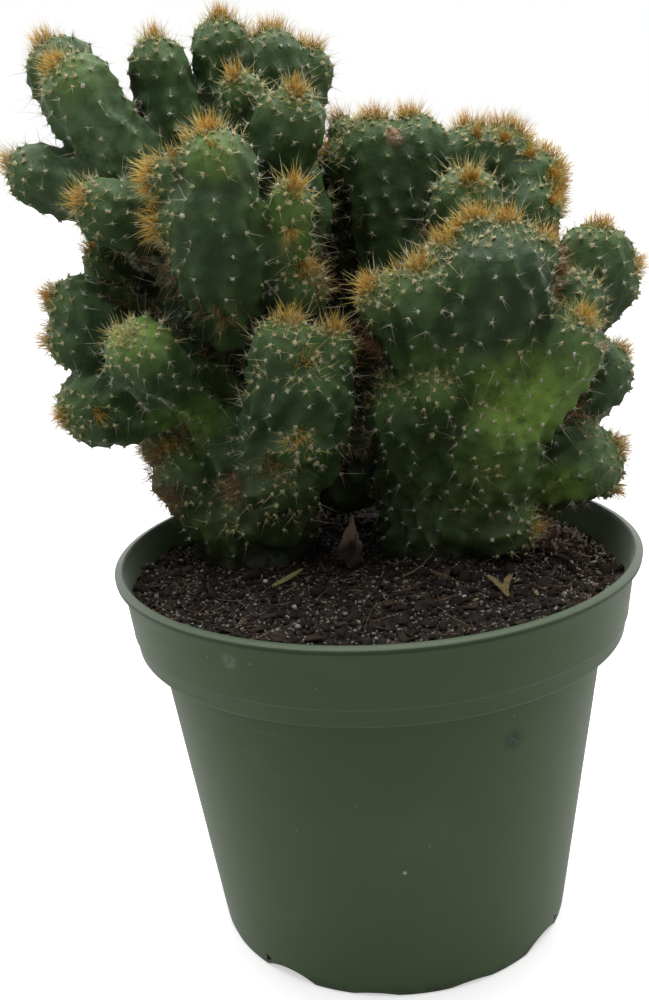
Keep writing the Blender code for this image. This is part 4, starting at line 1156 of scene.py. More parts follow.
def skin_points(lobe, walk, turn, phase, plant):
    """Points of the ribbed skin, at walks from the base along the body and over the tip's round."""
    length = lobe_length(lobe)
    share = np.clip(walk / length, 0, 1)
    over = np.maximum(walk - length, 0) / lobe.tip_radius
    under = np.maximum(-walk, 0) / lobe.base_radius
    along, side, up = lobe_frames(lobe, share)
    centre = axis_points(lobe, share)
    rib = np.cos(rib_count(lobe) * (turn - phase))
    turn = turn + RIB_SWAY * np.sin(walk * RIB_WAVES + 2 * turn + 5 * phase)
    tubercle = np.cos(TURN * areole_row(tip_walk(lobe) - walk))
    flat = np.maximum(np.cos(over), 0)
    relief = 1 + plant.rib_depth * rib * flat
    relief = relief + plant.tubercle_depth * tubercle * np.maximum(rib, 0) * flat
    reach = body_radii(lobe, share) * relief
    centre = centre + along * (reach * np.sin(over))[:, None]
    reach = reach * np.maximum(np.cos(over), 0)
    low = under > 0
    centre = centre - along * (np.where(low, 1, 0) * body_radii(lobe, share) * BASE_OVERLAP)[:, None]
    reach = reach * np.maximum(1 - under, 0)
    return centre + (side * np.cos(turn)[:, None] + up * np.sin(turn)[:, None]) * reach[:, None]


def grow_lobe(lobe, side, plant):
    """Shape a sphere's rings and columns into the lobe's ribbed skin."""
    phase = lobe_phase(lobe, side)
    length = lobe_length(lobe)
    cap_rows = max(FEWEST_ROWS, round(lobe.tip_radius * pi / 2 / ROW_STEP))
    body_rows = max(FEWEST_ROWS, round(length / ROW_STEP))
    rows = cap_rows + body_rows + 2
    made = add_primitive("uv_sphere", f"{side}_{lobe.name}", segments=rib_count(lobe) * COLUMNS_PER_RIB,
                         ring_count=rows, radius=1.0)
    ball = points_of(made)
    row = np.round(np.arccos(np.clip(ball[:, 2], -1, 1)) / pi * rows)
    turn = phase + np.arctan2(ball[:, 1], ball[:, 0])
    over = (cap_rows - row) / cap_rows * pi / 2
    body = length * (1 - (row - cap_rows) / body_rows)
    walk = np.where(row <= cap_rows, length + over * lobe.tip_radius, np.maximum(body, 0))
    walk = np.where(row == rows - 1, -0.5 * lobe.base_radius, walk)
    walk = np.where(row == rows, -lobe.base_radius, walk)
    points = skin_points(lobe, walk, turn, phase, plant)
    centre = axis_points(lobe, np.clip(walk / length, 0, 1))
    away = points - centre
    lumps = np.array([noise.noise(Vector(point) * LUMP_WAVES) for point in points])
    knobs = np.array([noise.noise(Vector(point) * KNOB_WAVES) for point in points])
    put_points(made, points + away * (lumps * plant.lumps + knobs * plant.knobs)[:, None])
    return made


def depths(points, clump):
    """How deep each point lies in each lobe of a clump, negative outside."""
    shares = np.linspace(0, 1, AXIS_SAMPLES + 1)
    result = np.empty((len(points), len(clump)))
    for column, lobe in enumerate(clump):
        centres = axis_points(lobe, shares)
        radii = body_radii(lobe, shares)
        for start in range(0, len(points), DEPTH_BATCH):
            part = points[start:start + DEPTH_BATCH]
            away = np.linalg.norm(part[:, None, :] - centres[None, :, :], axis=2)
            result[start:start + DEPTH_BATCH, column] = (radii - away).max(axis=1)
    return result


def drop_inner_shells(piece):
    """Keep only the largest shell of the piece's mesh."""
    bm = bmesh.new()
    bm.from_mesh(piece.data)
    waiting = set(bm.verts)
    shells = []
    while waiting:
        reached = [waiting.pop()]
        for vertex in reached:
            for edge in vertex.link_edges:
                neighbour = edge.other_vert(vertex)
                if neighbour in waiting:
                    waiting.remove(neighbour)
                    reached.append(neighbour)
        shells.append(reached)
    shells.sort(key=len)
    for shell in shells[:-1]:
        bmesh.ops.delete(bm, geom=shell, context="VERTS")
    bm.to_mesh(piece.data)
    bm.free()


Areole = namedtuple("Areole", "place normal distance along shade")
STEMS = {}


def thin_out(areoles):
    """Drop each areole that crowds an earlier one, those near a growing tip first."""
    kept = []
    grid = {}
    for one in sorted(areoles, key=lambda areole: areole.distance):
        cell = tuple(int(value) for value in one.place // AREOLE_CLEARANCE)
        near = [other for x in (-1, 0, 1) for y in (-1, 0, 1) for z in (-1, 0, 1)
                for other in grid.get((cell[0] + x, cell[1] + y, cell[2] + z), ())]
        gone = min(one.distance / CROWN_REACH, 1.0)
        limit = CROWN_CLEARANCE + (AREOLE_CLEARANCE - CROWN_CLEARANCE) * gone
        if all(np.linalg.norm(one.place - other.place) > limit for other in near):
            grid.setdefault(cell, []).append(one)
            kept.append(one)
    return kept


def areole_at(tree, spot, distance, along=None):
    """The areole on the skin nearest to a spot."""
    place, normal, _, _ = tree.find_nearest(Vector(spot))
    normal = np.array(normal)
    return Areole(np.array(place), normal, distance, normal if along is None else along, 0.0)


def lobe_spots(lobe, side):
    """Walks, turns and distances from the tip of the places where a lobe's ribs bear areoles."""
    phase = lobe_phase(lobe, side)
    ribs = rib_count(lobe)
    reach = tip_walk(lobe)
    spots = []
    row = 0
    while areole_distance(row) < reach - 0.25 * lobe.base_radius:
        distance = areole_distance(row) + BARE_TIP
        ring = lobe.tip_radius * sin(min(distance / lobe.tip_radius, pi / 2))
        here = ribs if ring * TURN / ribs > CROWDED_RING else max(1, ribs // 2)
        for rib in range(here):
            spots.append((reach - distance, phase + TURN * rib / here, distance))
        row += 1
    return (np.array(column) for column in zip(*spots))


def find_areoles(side, skin, plant):
    """The areoles that lie open on a stem: on each rib of each lobe, in huddles and on the crowns."""
    clump = CLUMPS[side]
    tree = BVHTree.FromObject(skin, bpy.context.evaluated_depsgraph_get())
    taken = []
    for number, lobe in enumerate(clump):
        walk, turn, distance = lobe_spots(lobe, side)
        points = skin_points(lobe, walk, turn, lobe_phase(lobe, side), plant)
        others = np.delete(depths(points, clump), number, axis=1).max(axis=1)
        along = lobe_frames(lobe, np.clip(walk / lobe_length(lobe), 0, 1))[0]
        for point, gone, buried, way in zip(points, distance, others, along):
            if buried < OPEN_SKIN and point[2] > SOIL_TOP + BARE_FOOT:
                taken.append(areole_at(tree, point, float(gone), way))
    chance = random.Random(f"huddle{side}")
    for centre, radius, count, _ in HUDDLES[side]:
        for _ in range(count):
            taken.append(areole_at(tree, near_spot(chance, centre, radius * 0.5) * MM, HUDDLE_AGE))
    for lobe in clump:
        top = Vector(pole(lobe))
        for _ in range(plant.crown_areoles if lobe.tuft > 2 else 0):
            spot = near_spot(chance, top, 0.55 * CROWN_REACH)
            gone = (tree.find_nearest(spot)[0] - top).length
            one = areole_at(tree, spot, gone)
            if BARE_POLE < gone < CROWN_REACH and one.place[2] > SOIL_TOP + BARE_FOOT:
                taken.append(one)
    return thin_out(taken)


def raise_chins(skin, areoles, plant):
    """Raise the skin in a small chin under each areole, and set the areoles on their chins."""
    points = points_of(skin)
    tree = point_tree(points)
    lift = np.zeros_like(points)
    for one in areoles:
        share = min(one.distance / CROWN_REACH, 1.0)
        height = plant.areole_bump * (0.45 + 0.55 * share)
        width = CHIN_WIDTH + CHIN_SPREAD * share
        for _, number, away in tree.find_range(one.place, CHIN_REACH * width):
            lift[number] += one.normal * height * exp(-(away / width) ** 2)
    size = np.linalg.norm(lift, axis=1, keepdims=True)
    highest = plant.areole_bump * HIGHEST_CHIN
    put_points(skin, points + lift * np.minimum(1, highest / np.maximum(size, 1e-9)))
    surface = BVHTree.FromObject(skin, bpy.context.evaluated_depsgraph_get())
    seated = []
    for one in areoles:
        over = Vector(one.place + one.normal * 3 * plant.areole_bump)
        place = surface.ray_cast(over, Vector(-one.normal), 5 * plant.areole_bump)[0]
        if place:
            seated.append(one._replace(place=np.array(place)))
    return seated


def neighbour_mean(skin):
    """A function that gives each vertex the mean of its neighbours' rows."""
    edges = read(skin.data.edges, "vertices", 2, np.int32)
    first, second = edges.T
    count = np.bincount(edges.ravel(), minlength=len(skin.data.vertices))[:, None]

    def spread(values):
        """The mean of each vertex's neighbours."""
        sums = [np.bincount(first, values[second, axis], len(values))
                + np.bincount(second, values[first, axis], len(values)) for axis in range(values.shape[1])]
        return np.stack(sums, axis=1) / count

    return spread


def strongest(points, patches, core=0.2):
    """The strength of the strongest patch at each point: full in its core and 0 past its edge."""
    strengths = []
    for centre, radius, strength in patches:
        away = np.linalg.norm(points - np.array(centre) * MM, axis=1)
        strengths.append((1 - ease(away, radius * MM * core, radius * MM * 1.2)) * strength)
    return np.max(strengths, axis=0)


def mark_skin(skin, side):
    """Store where the skin is young, fresh, darkened by painted shade or scarred, and where it rises or lies
    in a hollow.
    """
    points = points_of(skin)
    spread = neighbour_mean(skin)
    soft = points
    for _ in range(SOFTENINGS):
        soft = spread(soft)
    rise = ((points - soft) * normals_of(skin)).sum(axis=1)
    young = np.zeros(len(points))
    for lobe in CLUMPS[side]:
        if lobe.tuft:
            away = np.linalg.norm(points - lobe.tip - lobe.crown * lobe.tip_radius, axis=1)
            young = np.maximum(young, 1 - ease(away, *YOUNG_SKIN))
    over_soil = points[:, 2] - SOIL_TOP
    marks = {
        "young": young,
        "fresh": strongest(points, FRESH_PATCHES[side]),
        "dark": strongest(points, PAINTED_SHADE_PATCHES[side]),
        "bloom": strongest(points, BLOOM_PATCHES[side]),
        "scar": strongest(points, SCARS[side], 0.6),
        "dusty": 1 - ease(over_soil, *DUSTY_SKIN),
        "ridge": ease(rise, *RIDGES),
        "hollow": ease(-rise, *HOLLOWS),
        "soiled": 1 - ease(over_soil, *SOILED_SKIN),
    }
    for key, values in marks.items():
        paint_points(skin, key, values)


def round_ways(count):
    """Unit vectors spread evenly over a sphere along a spiral."""
    heights = (np.arange(count) + 0.5) / count * 2 - 1
    turns = np.arange(count) * pi * (3 - sqrt(5))
    rounds = np.sqrt(1 - heights ** 2)
    return np.stack((rounds * np.cos(turns), rounds * np.sin(turns), heights), axis=1)


def shade_stems():
    """Store how much of the sky each point of the two skins misses, and tell it to the areoles."""
    points = {side: points_of(skin) for side, (skin, _) in STEMS.items()}
    corners = []
    start = 0
    for side, (skin, _) in STEMS.items():
        corners.append(faces_of(skin) + start)
        start += len(points[side])
    every_point = np.concatenate(list(points.values()))
    tree = BVHTree.FromPolygons(every_point.tolist(), np.concatenate(corners).tolist())
    for side, (skin, areoles) in STEMS.items():
        normals = normals_of(skin)
        starts = [Vector(point) for point in points[side] + normals * SHADE_LIFT]
        missed = np.zeros(len(starts))
        total = np.zeros(len(starts))
        for way in round_ways(SHADE_WAYS):
            facing = normals @ way
            aim = Vector(way)
            for number in np.flatnonzero(facing > SHADE_FACING):
                total[number] += facing[number]
                if tree.ray_cast(starts[number], aim, SHADE_REACH)[0]:
                    missed[number] += facing[number]
        shade = (missed / np.maximum(total, 1e-6))[:, None]
        spread = neighbour_mean(skin)
        for _ in range(SHADE_SOFTENINGS):
            shade = spread(shade)
        paint_points(skin, "shade", shade[:, 0])
        near = point_tree(points[side])
        told = [one._replace(shade=float(shade[near.find(one.place)[1], 0])) for one in areoles]
        STEMS[side] = (skin, told)


def grow_stem(side, plant, material):
    """Grow a stem's lobes together into one skin, raise its chins and mark its colours."""
    skin = joined([grow_lobe(lobe, side, plant) for lobe in CLUMPS[side]])
    skin.name = f"{side}_skin"
    skin.data.name = skin.name
    apply_modifier(skin, "REMESH", mode="VOXEL", voxel_size=plant.voxel)
    drop_inner_shells(skin)
    apply_modifier(skin, "SMOOTH", factor=0.5, iterations=3)
    areoles = raise_chins(skin, find_areoles(side, skin, plant), plant)
    shade(skin)
    mark_skin(skin, side)
    STEMS[side] = (skin, areoles)
    return finish_piece(skin, material, f"{side}_skin", f"{side}_stem")


# Wool, spines and fibres


Spine = namedtuple("Spine", "root way length radius tone")


def spine(chance, root, way, length, radius, slim=0.7, thick=1.0):
    """A spine with its place, way and length, a share of the radius and a tone of its own."""
    return Spine(root, way, length, radius * chance.uniform(slim, thick), chance.random())


def taper_pattern(rings):
    """A three-sided taper of length one and root radius one, drawn out ring by ring."""
    made = add_primitive("circle", "spine_pattern", vertices=3, radius=1.0, fill_type="NGON")
    with editing(made):
        for ring in range(1, rings + 1):
            share = ring / rings
            before = 1 - 0.9 * ((ring - 1) / rings) ** 1.5
            after = 1 - 0.97 * share ** 1.5
            slimmer = after / before
            bpy.ops.mesh.extrude_region_move(TRANSFORM_OT_translate={"value": (0, 0, 1 / rings)})
            bpy.ops.transform.resize(value=(slimmer, slimmer, 1), center_override=(0, 0, share))
    return made


def needle_pattern():
    """A three-sided needle of length one and root radius one."""
    made = add_primitive("circle", "needle_pattern", vertices=3, radius=1.0, fill_type="NGON")
    with editing(made):
        bpy.ops.mesh.extrude_region_move(TRANSFORM_OT_translate={"value": (0, 0, 1)})
        bpy.ops.mesh.merge(type="CENTER")
    return made


def build_spines(name, pattern, rows, chance, material, slot, bend):
    """One piece of spines: a bent copy of the pattern for each row."""
    shape = points_of(pattern)
    count = len(rows)
    roots, ways, lengths, radii, tones = (np.array(column) for column in zip(*rows))
    bends = np.array([(chance.uniform(-bend, bend), chance.uniform(-bend, bend)) for _ in rows])
    ways = unit(ways)
    helper = np.where(np.abs(ways[:, 2:3]) < 0.9, np.array([[0.0, 0.0, 1.0]]), np.array([[1.0, 0.0, 0.0]]))
    side = unit(np.cross(helper, ways))
    up = np.cross(ways, side)
    roots = roots - ways * SPINE_SINK
    lengths = lengths[:, None, None] + SPINE_SINK
    x, y, z = (shape[None, :, axis, None] for axis in range(3))
    bow = (side * bends[:, 0:1] + up * bends[:, 1:2])[:, None, :]
    points = roots[:, None, :] + ways[:, None, :] * z * lengths
    thick = (side[:, None, :] * x + up[:, None, :] * y) * radii[:, None, None]
    points = (points + thick + bow * lengths * z ** 2).reshape(-1, 3)
    corners = (faces_of(pattern)[None, :, :] + (np.arange(count) * len(shape))[:, None, None]).reshape(-1, 3)
    marks = {"along": np.tile(shape[:, 2], count), "tone": np.repeat(tones, len(shape))}
    return finish_piece(mesh_piece(name, points, corners, marks), material, slot)


def has_room(point):
    """True where a spine's end lies in the solids' box, over the soil and inside the pot's wall."""
    low, high = (np.array(corner) for corner in CAD_BOX)
    if (point < low - BOX_CLEARANCE).any() or (point > high + BOX_CLEARANCE).any():
        return False
    if point[2] < soil_height(point[0], point[1]) + SPINE_CLEARANCE:
        return False
    low_down = point[2] < POT_HEIGHT + BOX_CLEARANCE
    return not (low_down and hypot(point[0], point[1]) > LIP_INNER_RADIUS - WALL_CLEARANCE)


def in_the_open(rows):
    """The spines that have room and end outside the flesh of both stems."""
    rows = [row for row in rows if has_room(row.root + row.way * row.length)]
    ends = np.array([row.root + row.way * row.length for row in rows])
    deepest = depths(ends, CLUMPS["left"] + CLUMPS["right"]).max(axis=1)
    return [row for row, depth in zip(rows, deepest) if depth < -SPINE_CLEARANCE]


def crown_rows(side, settings):
    """The golden spines in the heart of each tuft and crest, the straw rays and the fuzz around them."""
    skin, areoles = STEMS[side]
    chance = random.Random(f"gold{side}")
    points = points_of(skin)
    normals = normals_of(skin)
    lobes = {lobe.name: lobe for lobe in CLUMPS[side]}
    tree = point_tree(points)
    hearts = []
    rays = []
    fuzz = []
    shortest = settings.golden_shortest

    def tuft(place, crown, radius, fullness, heart=1.0):
        """Set the golden heart and the straw rays of one tuft."""
        near = [(number, away) for _, number, away in tree.find_range(place, radius)]
        if not near:
            return
        for kind, count, longest, rows in (
                (GOLDEN_HEART, fullness * heart * settings.golden_count, settings.golden_longest, hearts),
                (STRAW_RAYS, fullness * settings.ray_count, settings.ray_longest, rays)):
            for _ in range(round(count)):
                number, away = min((chance.choice(near) for _ in range(kind.draws)), key=lambda one: one[1])
                way = normals[number] * kind.lift + crown * kind.crown + (points[number] - place) * kind.fan
                way = unit(way + jitter(chance, kind.stray))
                length = shortest + (longest - shortest) * chance.random() ** kind.skew
                root = points[number] + jitter(chance, ROOT_JITTER)
                rows.append(spine(chance, root, way, length * (kind.full - kind.fade * away / radius),
                                  settings.golden_radius, kind.slim, kind.thick))

    for lobe in CLUMPS[side]:
        if lobe.tuft:
            place = np.array(tree.find(Vector(pole(lobe)))[0])
            heart = PALE_HEART if lobe.name in PALE_TUFTS else 1.0
            tuft(place, lobe.crown, 0.0032 + 0.20 * lobe.tip_radius, lobe.tuft, heart)
    for names, width in CRESTS[side]:
        row = [lobes[name] for name in names]
        for first, second in zip(row, row[1:]):
            start = pole(first)
            end = pole(second)
            steps = max(2, round(float(np.linalg.norm(end - start)) / CREST_STEP))
            for step in range(1, steps):
                share = step / steps
                crown = unit(first.crown * (1 - share) + second.crown * share)
                spot = Vector(start * (1 - share) + end * share + jitter(chance, 0.0015))
                crowded = 0.30 + ease(noise.noise(spot * 140.0), -0.25, 0.25)
                fullness = chance.uniform(0.8, 3.0) * crowded * width / 0.0042
                tuft(np.array(tree.find(spot)[0]), crown, width, fullness)
    for centre, _, _, fullness in HUDDLES[side]:
        place, number, _ = tree.find(Vector(centre) * MM)
        tuft(np.array(place), normals[number], HUDDLE_TUFT, fullness)
    for one in areoles:
        for _ in range(chance.randint(2, 4) if one.distance < CROWN_FUZZ else 0):
            way = unit(one.normal + jitter(chance, 0.9))
            fuzz.append(spine(chance, one.place, way, chance.uniform(*FUZZ_LENGTHS), settings.pale_radius))
    return in_the_open(hearts), in_the_open(rays), in_the_open(fuzz)


def areole_rows(side, settings):
    """Pale spines and fuzz of the open areoles, and ashen ones of the old areoles and, as painted
    shade, of the shaded ones.
    """
    chance = random.Random(f"pale{side}")
    pale = []
    old = []
    for one in STEMS[side][1]:
        side_way = unit(np.cross(one.normal, np.array([0.13, 0.27, 0.95])))
        up_way = np.cross(one.normal, side_way)
        # Old, low and shaded areoles get more ashen spines; on the shaded ones this is painted shade
        age_and_shade = (0.06 + 0.40 * ease(one.distance, 0.020, 0.050) + 0.5 * ease(one.shade, 0.35, 0.80)
               + 0.3 * ease(-one.place[2], -LOW_SKIN[1], -LOW_SKIN[0]))
        start = chance.uniform(0, TURN)
        crowned = one.distance < CROWN_REACH * 0.8

        def spread_out(count, lift, lengths, radius):
            """Set a ring of short spines around the areole."""
            for number in range(count):
                turn = start + TURN * number / count + chance.uniform(-0.35, 0.35)
                around = side_way * cos(turn) + up_way * sin(turn)
                way = unit(around + one.normal * chance.uniform(*lift))
                row = spine(chance, one.place, way, chance.uniform(*lengths), radius, thick=1.05)
                (old if chance.random() < age_and_shade * 0.6 else pale).append(row)

        spread_out(chance.randint(3, 5), (0.2, 1.4), INNER_RING, settings.pale_radius * 1.1)
        spread_out(chance.randint(3, 5) if crowned else chance.randint(4, 7), (0.3, 1.5), OUTER_RING,
                   settings.pale_radius * 0.85)
        for _ in range(chance.choice((0, 1, 1) if crowned else (0, 0, 1, 1, 2))):
            way = unit(one.normal + jitter(chance, 0.75) + one.along * chance.uniform(-0.3, 0.5))
            length = 0.0030 + 0.0065 * chance.random() ** 1.8
            row = spine(chance, one.place, way, length, settings.pale_radius)
            (old if chance.random() < age_and_shade else pale).append(row)
    return in_the_open(pale), in_the_open(old)


def fibre_rows(side, settings):
    """Dry brown fibres in the shade between lobes, and nests of them."""
    skin, _ = STEMS[side]
    chance = random.Random(f"rust{side}")
    points = points_of(skin)
    normals = normals_of(skin)
    shade = read(skin.data.attributes["shade"].data, "value", 1)[:, 0]
    deep = np.flatnonzero((shade > FIBRE_SHADE) & (points[:, 2] > SOIL_TOP + 2 * BARE_FOOT))
    tangle = np.array([noise.noise(Vector(points[number]) * 70.0) for number in deep])
    deep = deep[tangle > -0.05]
    rows = []
    for _ in range(settings.fibres):
        number = chance.choice(deep)
        way = unit(normals[number] * 0.8 + jitter(chance, 1.0))
        length = 0.0030 + 0.0080 * chance.random() ** 1.4
        rows.append(spine(chance, points[number], way, length, settings.pale_radius, 0.55, 0.9))
    tree = point_tree(points)
    for centre, radius, count in NESTS[side]:
        for _ in range(count):
            place, number, _ = tree.find(near_spot(chance, centre, radius * 0.5) * MM)
            way = unit(normals[number] * 0.6 + jitter(chance, 1.0))
            root = np.array(place) + normals[number] * chance.uniform(0, 0.0015)
            length = 0.0025 + 0.0060 * chance.random() ** 1.3
            rows.append(spine(chance, root, way, length, settings.pale_radius, 0.6))
    return in_the_open(rows)


def wool_patterns():
    """Pads of matted wool: a burr with some of its points drawn out and some pushed in."""
    return [knock_about(add_primitive("ico_sphere", f"wool_pattern_{number}", subdivisions=1, radius=1.0),
                        0.85, number, 1.0) for number in range(WOOL_PATTERNS)]


def build_wool(name, side, areoles, radius, material):
    """A pad of wool on each of some areoles."""
    chance = random.Random(name)
    rows = []
    for one in areoles:
        size = radius * chance.uniform(*WOOL_SHARES)
        stand = Vector(one.normal).to_track_quat("Z", "Y").to_matrix()
        spin = Matrix.Rotation(chance.uniform(0, TURN), 3, "Z")
        shape = np.diag((size, size * chance.uniform(0.75, 1), size * chance.uniform(0.6, 1)))
        # The tone darkens old pads, and shaded pads as painted shade
        age_and_shade = 0.15 * ease(one.distance, 0.02, 0.05) + 0.75 * ease(one.shade, 0.35, 0.85)
        rows.append((one.place + one.normal * size * 0.3, np.array(stand @ spin) @ shape,
                     min(0.30 * chance.random() + age_and_shade, 1.0)))
    return finish_piece(copies(name, wool_patterns(), rows), material, f"{side}_skin")


# Soil, litter and pot


def near_litter(x, y):
    """0 beside a piece of litter, rising to 1 away from it."""
    nearest = min(hypot(x - place[0], y - place[1]) for place in LITTER_PLACES)
    return min(max(nearest / LITTER_CALM - 1.0, 0.0), 1.0)


def soil_height(x, y):
    """Height of the soil: low heaps, with clods and crumbs."""
    heap = SOIL_SWELL * sin(x * 61.0 + 0.6) * cos(y * 48.0 - 0.4)
    relief = sum(height * noise.noise(Vector((x, y, level)) * waves) for height, waves, level in SOIL_RELIEF)
    return SOIL_TOP + near_litter(x, y) * heap + (0.4 + 0.6 * near_litter(x, y)) * relief


def wall_radius(height):
    """Outer radius of the plain wall below the band."""
    share = height / (POT_HEIGHT - BAND_DROP)
    return WALL_BOTTOM_RADIUS + (WALL_TOP_RADIUS - WALL_BOTTOM_RADIUS) * share


def inner_profile(offset):
    """The pot's inside from the floor's edge to below the lip, moved inwards by an offset."""
    step = POT_HEIGHT - BAND_DROP
    floor = POT_FLOOR + offset
    corner = wall_radius(POT_FLOOR) - POT_WALL - offset
    return [
        (corner - FOOT_ROUND, floor),
        (corner, floor + FOOT_ROUND),
        (WALL_TOP_RADIUS - POT_WALL - offset, step - POT_WALL),
        (BAND_BOTTOM_RADIUS - POT_WALL - offset, step + POT_WALL),
        (BAND_TOP_RADIUS - POT_WALL - offset, POT_HEIGHT - LIP_HEIGHT),
    ]


def arc(centre, radius, start, end, steps):
    """Points of an arc in the profile plane, angles in degrees."""
    points = []
    for step in range(steps + 1):
        angle = radians(start + (end - start) * step / steps)
        points.append((centre[0] + radius * cos(angle), centre[1] + radius * sin(angle)))
    return points


def pull_rings(name, profile, segments):
    """A closed body pulled up ring by ring from a circle, as on a potter's wheel."""
    radius, height = profile[0]
    made = add_primitive("circle", name, vertices=segments, radius=radius, fill_type="NOTHING",
                         location=(0, 0, height))
    with editing(made):
        for (low_radius, low), (high_radius, high) in zip(profile, profile[1:]):
            ratio = high_radius / low_radius
            bpy.ops.mesh.extrude_edges_move(TRANSFORM_OT_translate={"value": (0, 0, high - low)})
            bpy.ops.transform.resize(value=(ratio, ratio, 1), center_override=(0, 0, high))
        bpy.ops.mesh.edge_face_add()
        bpy.ops.mesh.poke()
        bpy.ops.mesh.select_all(action="DESELECT")
        bm = bmesh.from_edit_mesh(made.data)
        for edge in bm.edges:
            edge.select_set(edge.is_boundary)
        bmesh.update_edit_mesh(made.data)
        bpy.ops.mesh.edge_face_add()
        bpy.ops.mesh.poke()
        bpy.ops.mesh.select_all(action="SELECT")
        bpy.ops.mesh.normals_make_consistent(inside=False)
    return settle(made)


def foot_cutters():
    """The cutters of the drains, the slots beside them and the scallops of the foot."""
    cutters = []

    def across(vertices, radius, degrees, height):
        """Lay a cylinder through the foot."""
        turn = radians(degrees)
        place = (WALL_BOTTOM_RADIUS * cos(turn), WALL_BOTTOM_RADIUS * sin(turn), height)
        cutters.append(add_primitive("cylinder", "foot_cutter", vertices=vertices, radius=radius,
                                     depth=2 * CUT_DEPTH, location=place, rotation=(0, pi / 2, turn)))

    def arch(degrees, size):
        """Cut a shallow arch as wide and high as the size says."""
        width, height = size
        radius = (width ** 2 / 4 + height ** 2) / (2 * height)
        across(ARCH_FACETS, radius, degrees, height - radius)

    for quarter in range(QUARTERS):
        turn = 360.0 / QUARTERS * quarter
        arch(DRAIN_ANGLE + turn, DRAIN_SIZE)
        slot_side = -1.0 if quarter % 2 == 0 else 1.0
        across(3, SLOT_RADIUS, DRAIN_ANGLE + turn + slot_side * SLOT_TURN, SLOT_RISE)
        for degrees in SCALLOP_ANGLES:
            arch(degrees + turn, SCALLOP_SIZE)
    return cutters


def steps_from(radius, height, steps):
    """Points of the profile in small steps from a radius and a height."""
    return [(radius + out, height + up) for out, up in steps]


def build_pot(material):
    """Pull the pot from its foot over the band and the lip down to its floor, then cut its foot."""
    top = POT_HEIGHT
    step = top - BAND_DROP
    profile = arc((WALL_BOTTOM_RADIUS - FOOT_ROUND, FOOT_ROUND), FOOT_ROUND, -90.0, 0.0, 3)
    heights = np.linspace(WALL_START, step - WALL_END, WALL_RINGS)
    profile += [(wall_radius(height), height) for height in heights]
    profile += steps_from(WALL_TOP_RADIUS, step, STEP_FILLET)
    profile += arc((BAND_BOTTOM_RADIUS - BAND_ROUND, step + BAND_ROUND), BAND_ROUND, -90.0, 0.0, 5)
    profile += steps_from(BAND_RIDGE_RADIUS, top - BAND_RIDGE_DROP, RIDGE_LINE)
    profile += steps_from(BAND_TOP_RADIUS, top, BAND_WAIST)
    profile += steps_from(BAND_TOP_RADIUS, top - LIP_HEIGHT, UNDER_LIP)
    profile += steps_from(LIP_RADIUS, top - LIP_HEIGHT, LIP_UNDERSIDE)
    profile += steps_from(LIP_RADIUS, top, LIP_BEAD)
    profile += steps_from(LIP_INNER_RADIUS, top, LIP_INSIDE)
    profile += inner_profile(0.0)[::-1]
    pot = pull_rings("pot_shell", profile, POT_SEGMENTS)
    cutter = settle(joined(foot_cutters()))
    apply_modifier(pot, "BOOLEAN", operation="DIFFERENCE", object=cutter, solver="EXACT")
    remove(cutter)
    shade(pot, 38.0)
    return finish_piece(pot, material, "pot_plastic", "pot")


def build_soil_body(material):
    """Turn the soil to the pot's inside and cut its top to the heaps and clods."""
    profile = inner_profile(SOIL_GAP) + [(LIP_INNER_RADIUS - 0.0009, POT_HEIGHT - 0.001)]
    body = pull_rings("soil_body", profile, POT_SEGMENTS)
    cells = round(2 * LIP_RADIUS / SOIL_STEP)
    slab = add_primitive("grid", "soil_relief", x_subdivisions=cells, y_subdivisions=cells,
                         size=2 * LIP_RADIUS)
    points = points_of(slab)
    points[:, 2] = [soil_height(x, y) for x, y, _ in points]
    put_points(slab, points)
    with editing(slab):
        bpy.ops.mesh.extrude_region_move(TRANSFORM_OT_translate={"value": (0, 0, -SLAB_DEPTH)})
        bpy.ops.transform.resize(value=(1, 1, 0), center_override=(0, 0, SLAB_FOOT))
        bpy.ops.mesh.select_all(action="SELECT")
        bpy.ops.mesh.normals_make_consistent(inside=False)
    apply_modifier(body, "BOOLEAN", operation="INTERSECT", object=slab, solver="MANIFOLD")
    remove(slab)
    shade(body, 60.0)
    return finish_piece(body, material, "potting_soil", "soil")


def covered(x, y):
    """True where a stem stands on the soil."""
    return any(hypot(x - place[0], y - place[1]) <= radius - ROOT_OVERHANG
               for place, radius in ROOTS.values())


def soil_spot(chance, reach, heap=None):
    """A random spot of the soil that no stem covers, all over or in a heap."""
    while True:
        angle = chance.uniform(0, TURN)
        away = reach * sqrt(chance.random())
        x = away * cos(angle)
        y = away * sin(angle)
        if heap:
            x = chance.gauss(heap[0], heap[2])
            y = chance.gauss(heap[1], heap[2])
        if hypot(x, y) < reach and not covered(x, y):
            return x, y


def grain_pattern(name, number, grain):
    """A rough low-faced lump, round or boxy, knocked about in its own way."""
    if grain.boxy:
        lump = add_primitive("cube", f"{name}_pattern_{number}", size=1.5)
    else:
        lump = add_primitive("ico_sphere", f"{name}_pattern_{number}", subdivisions=1, radius=1.0)
    return knock_about(lump, grain.rough, number + 5)


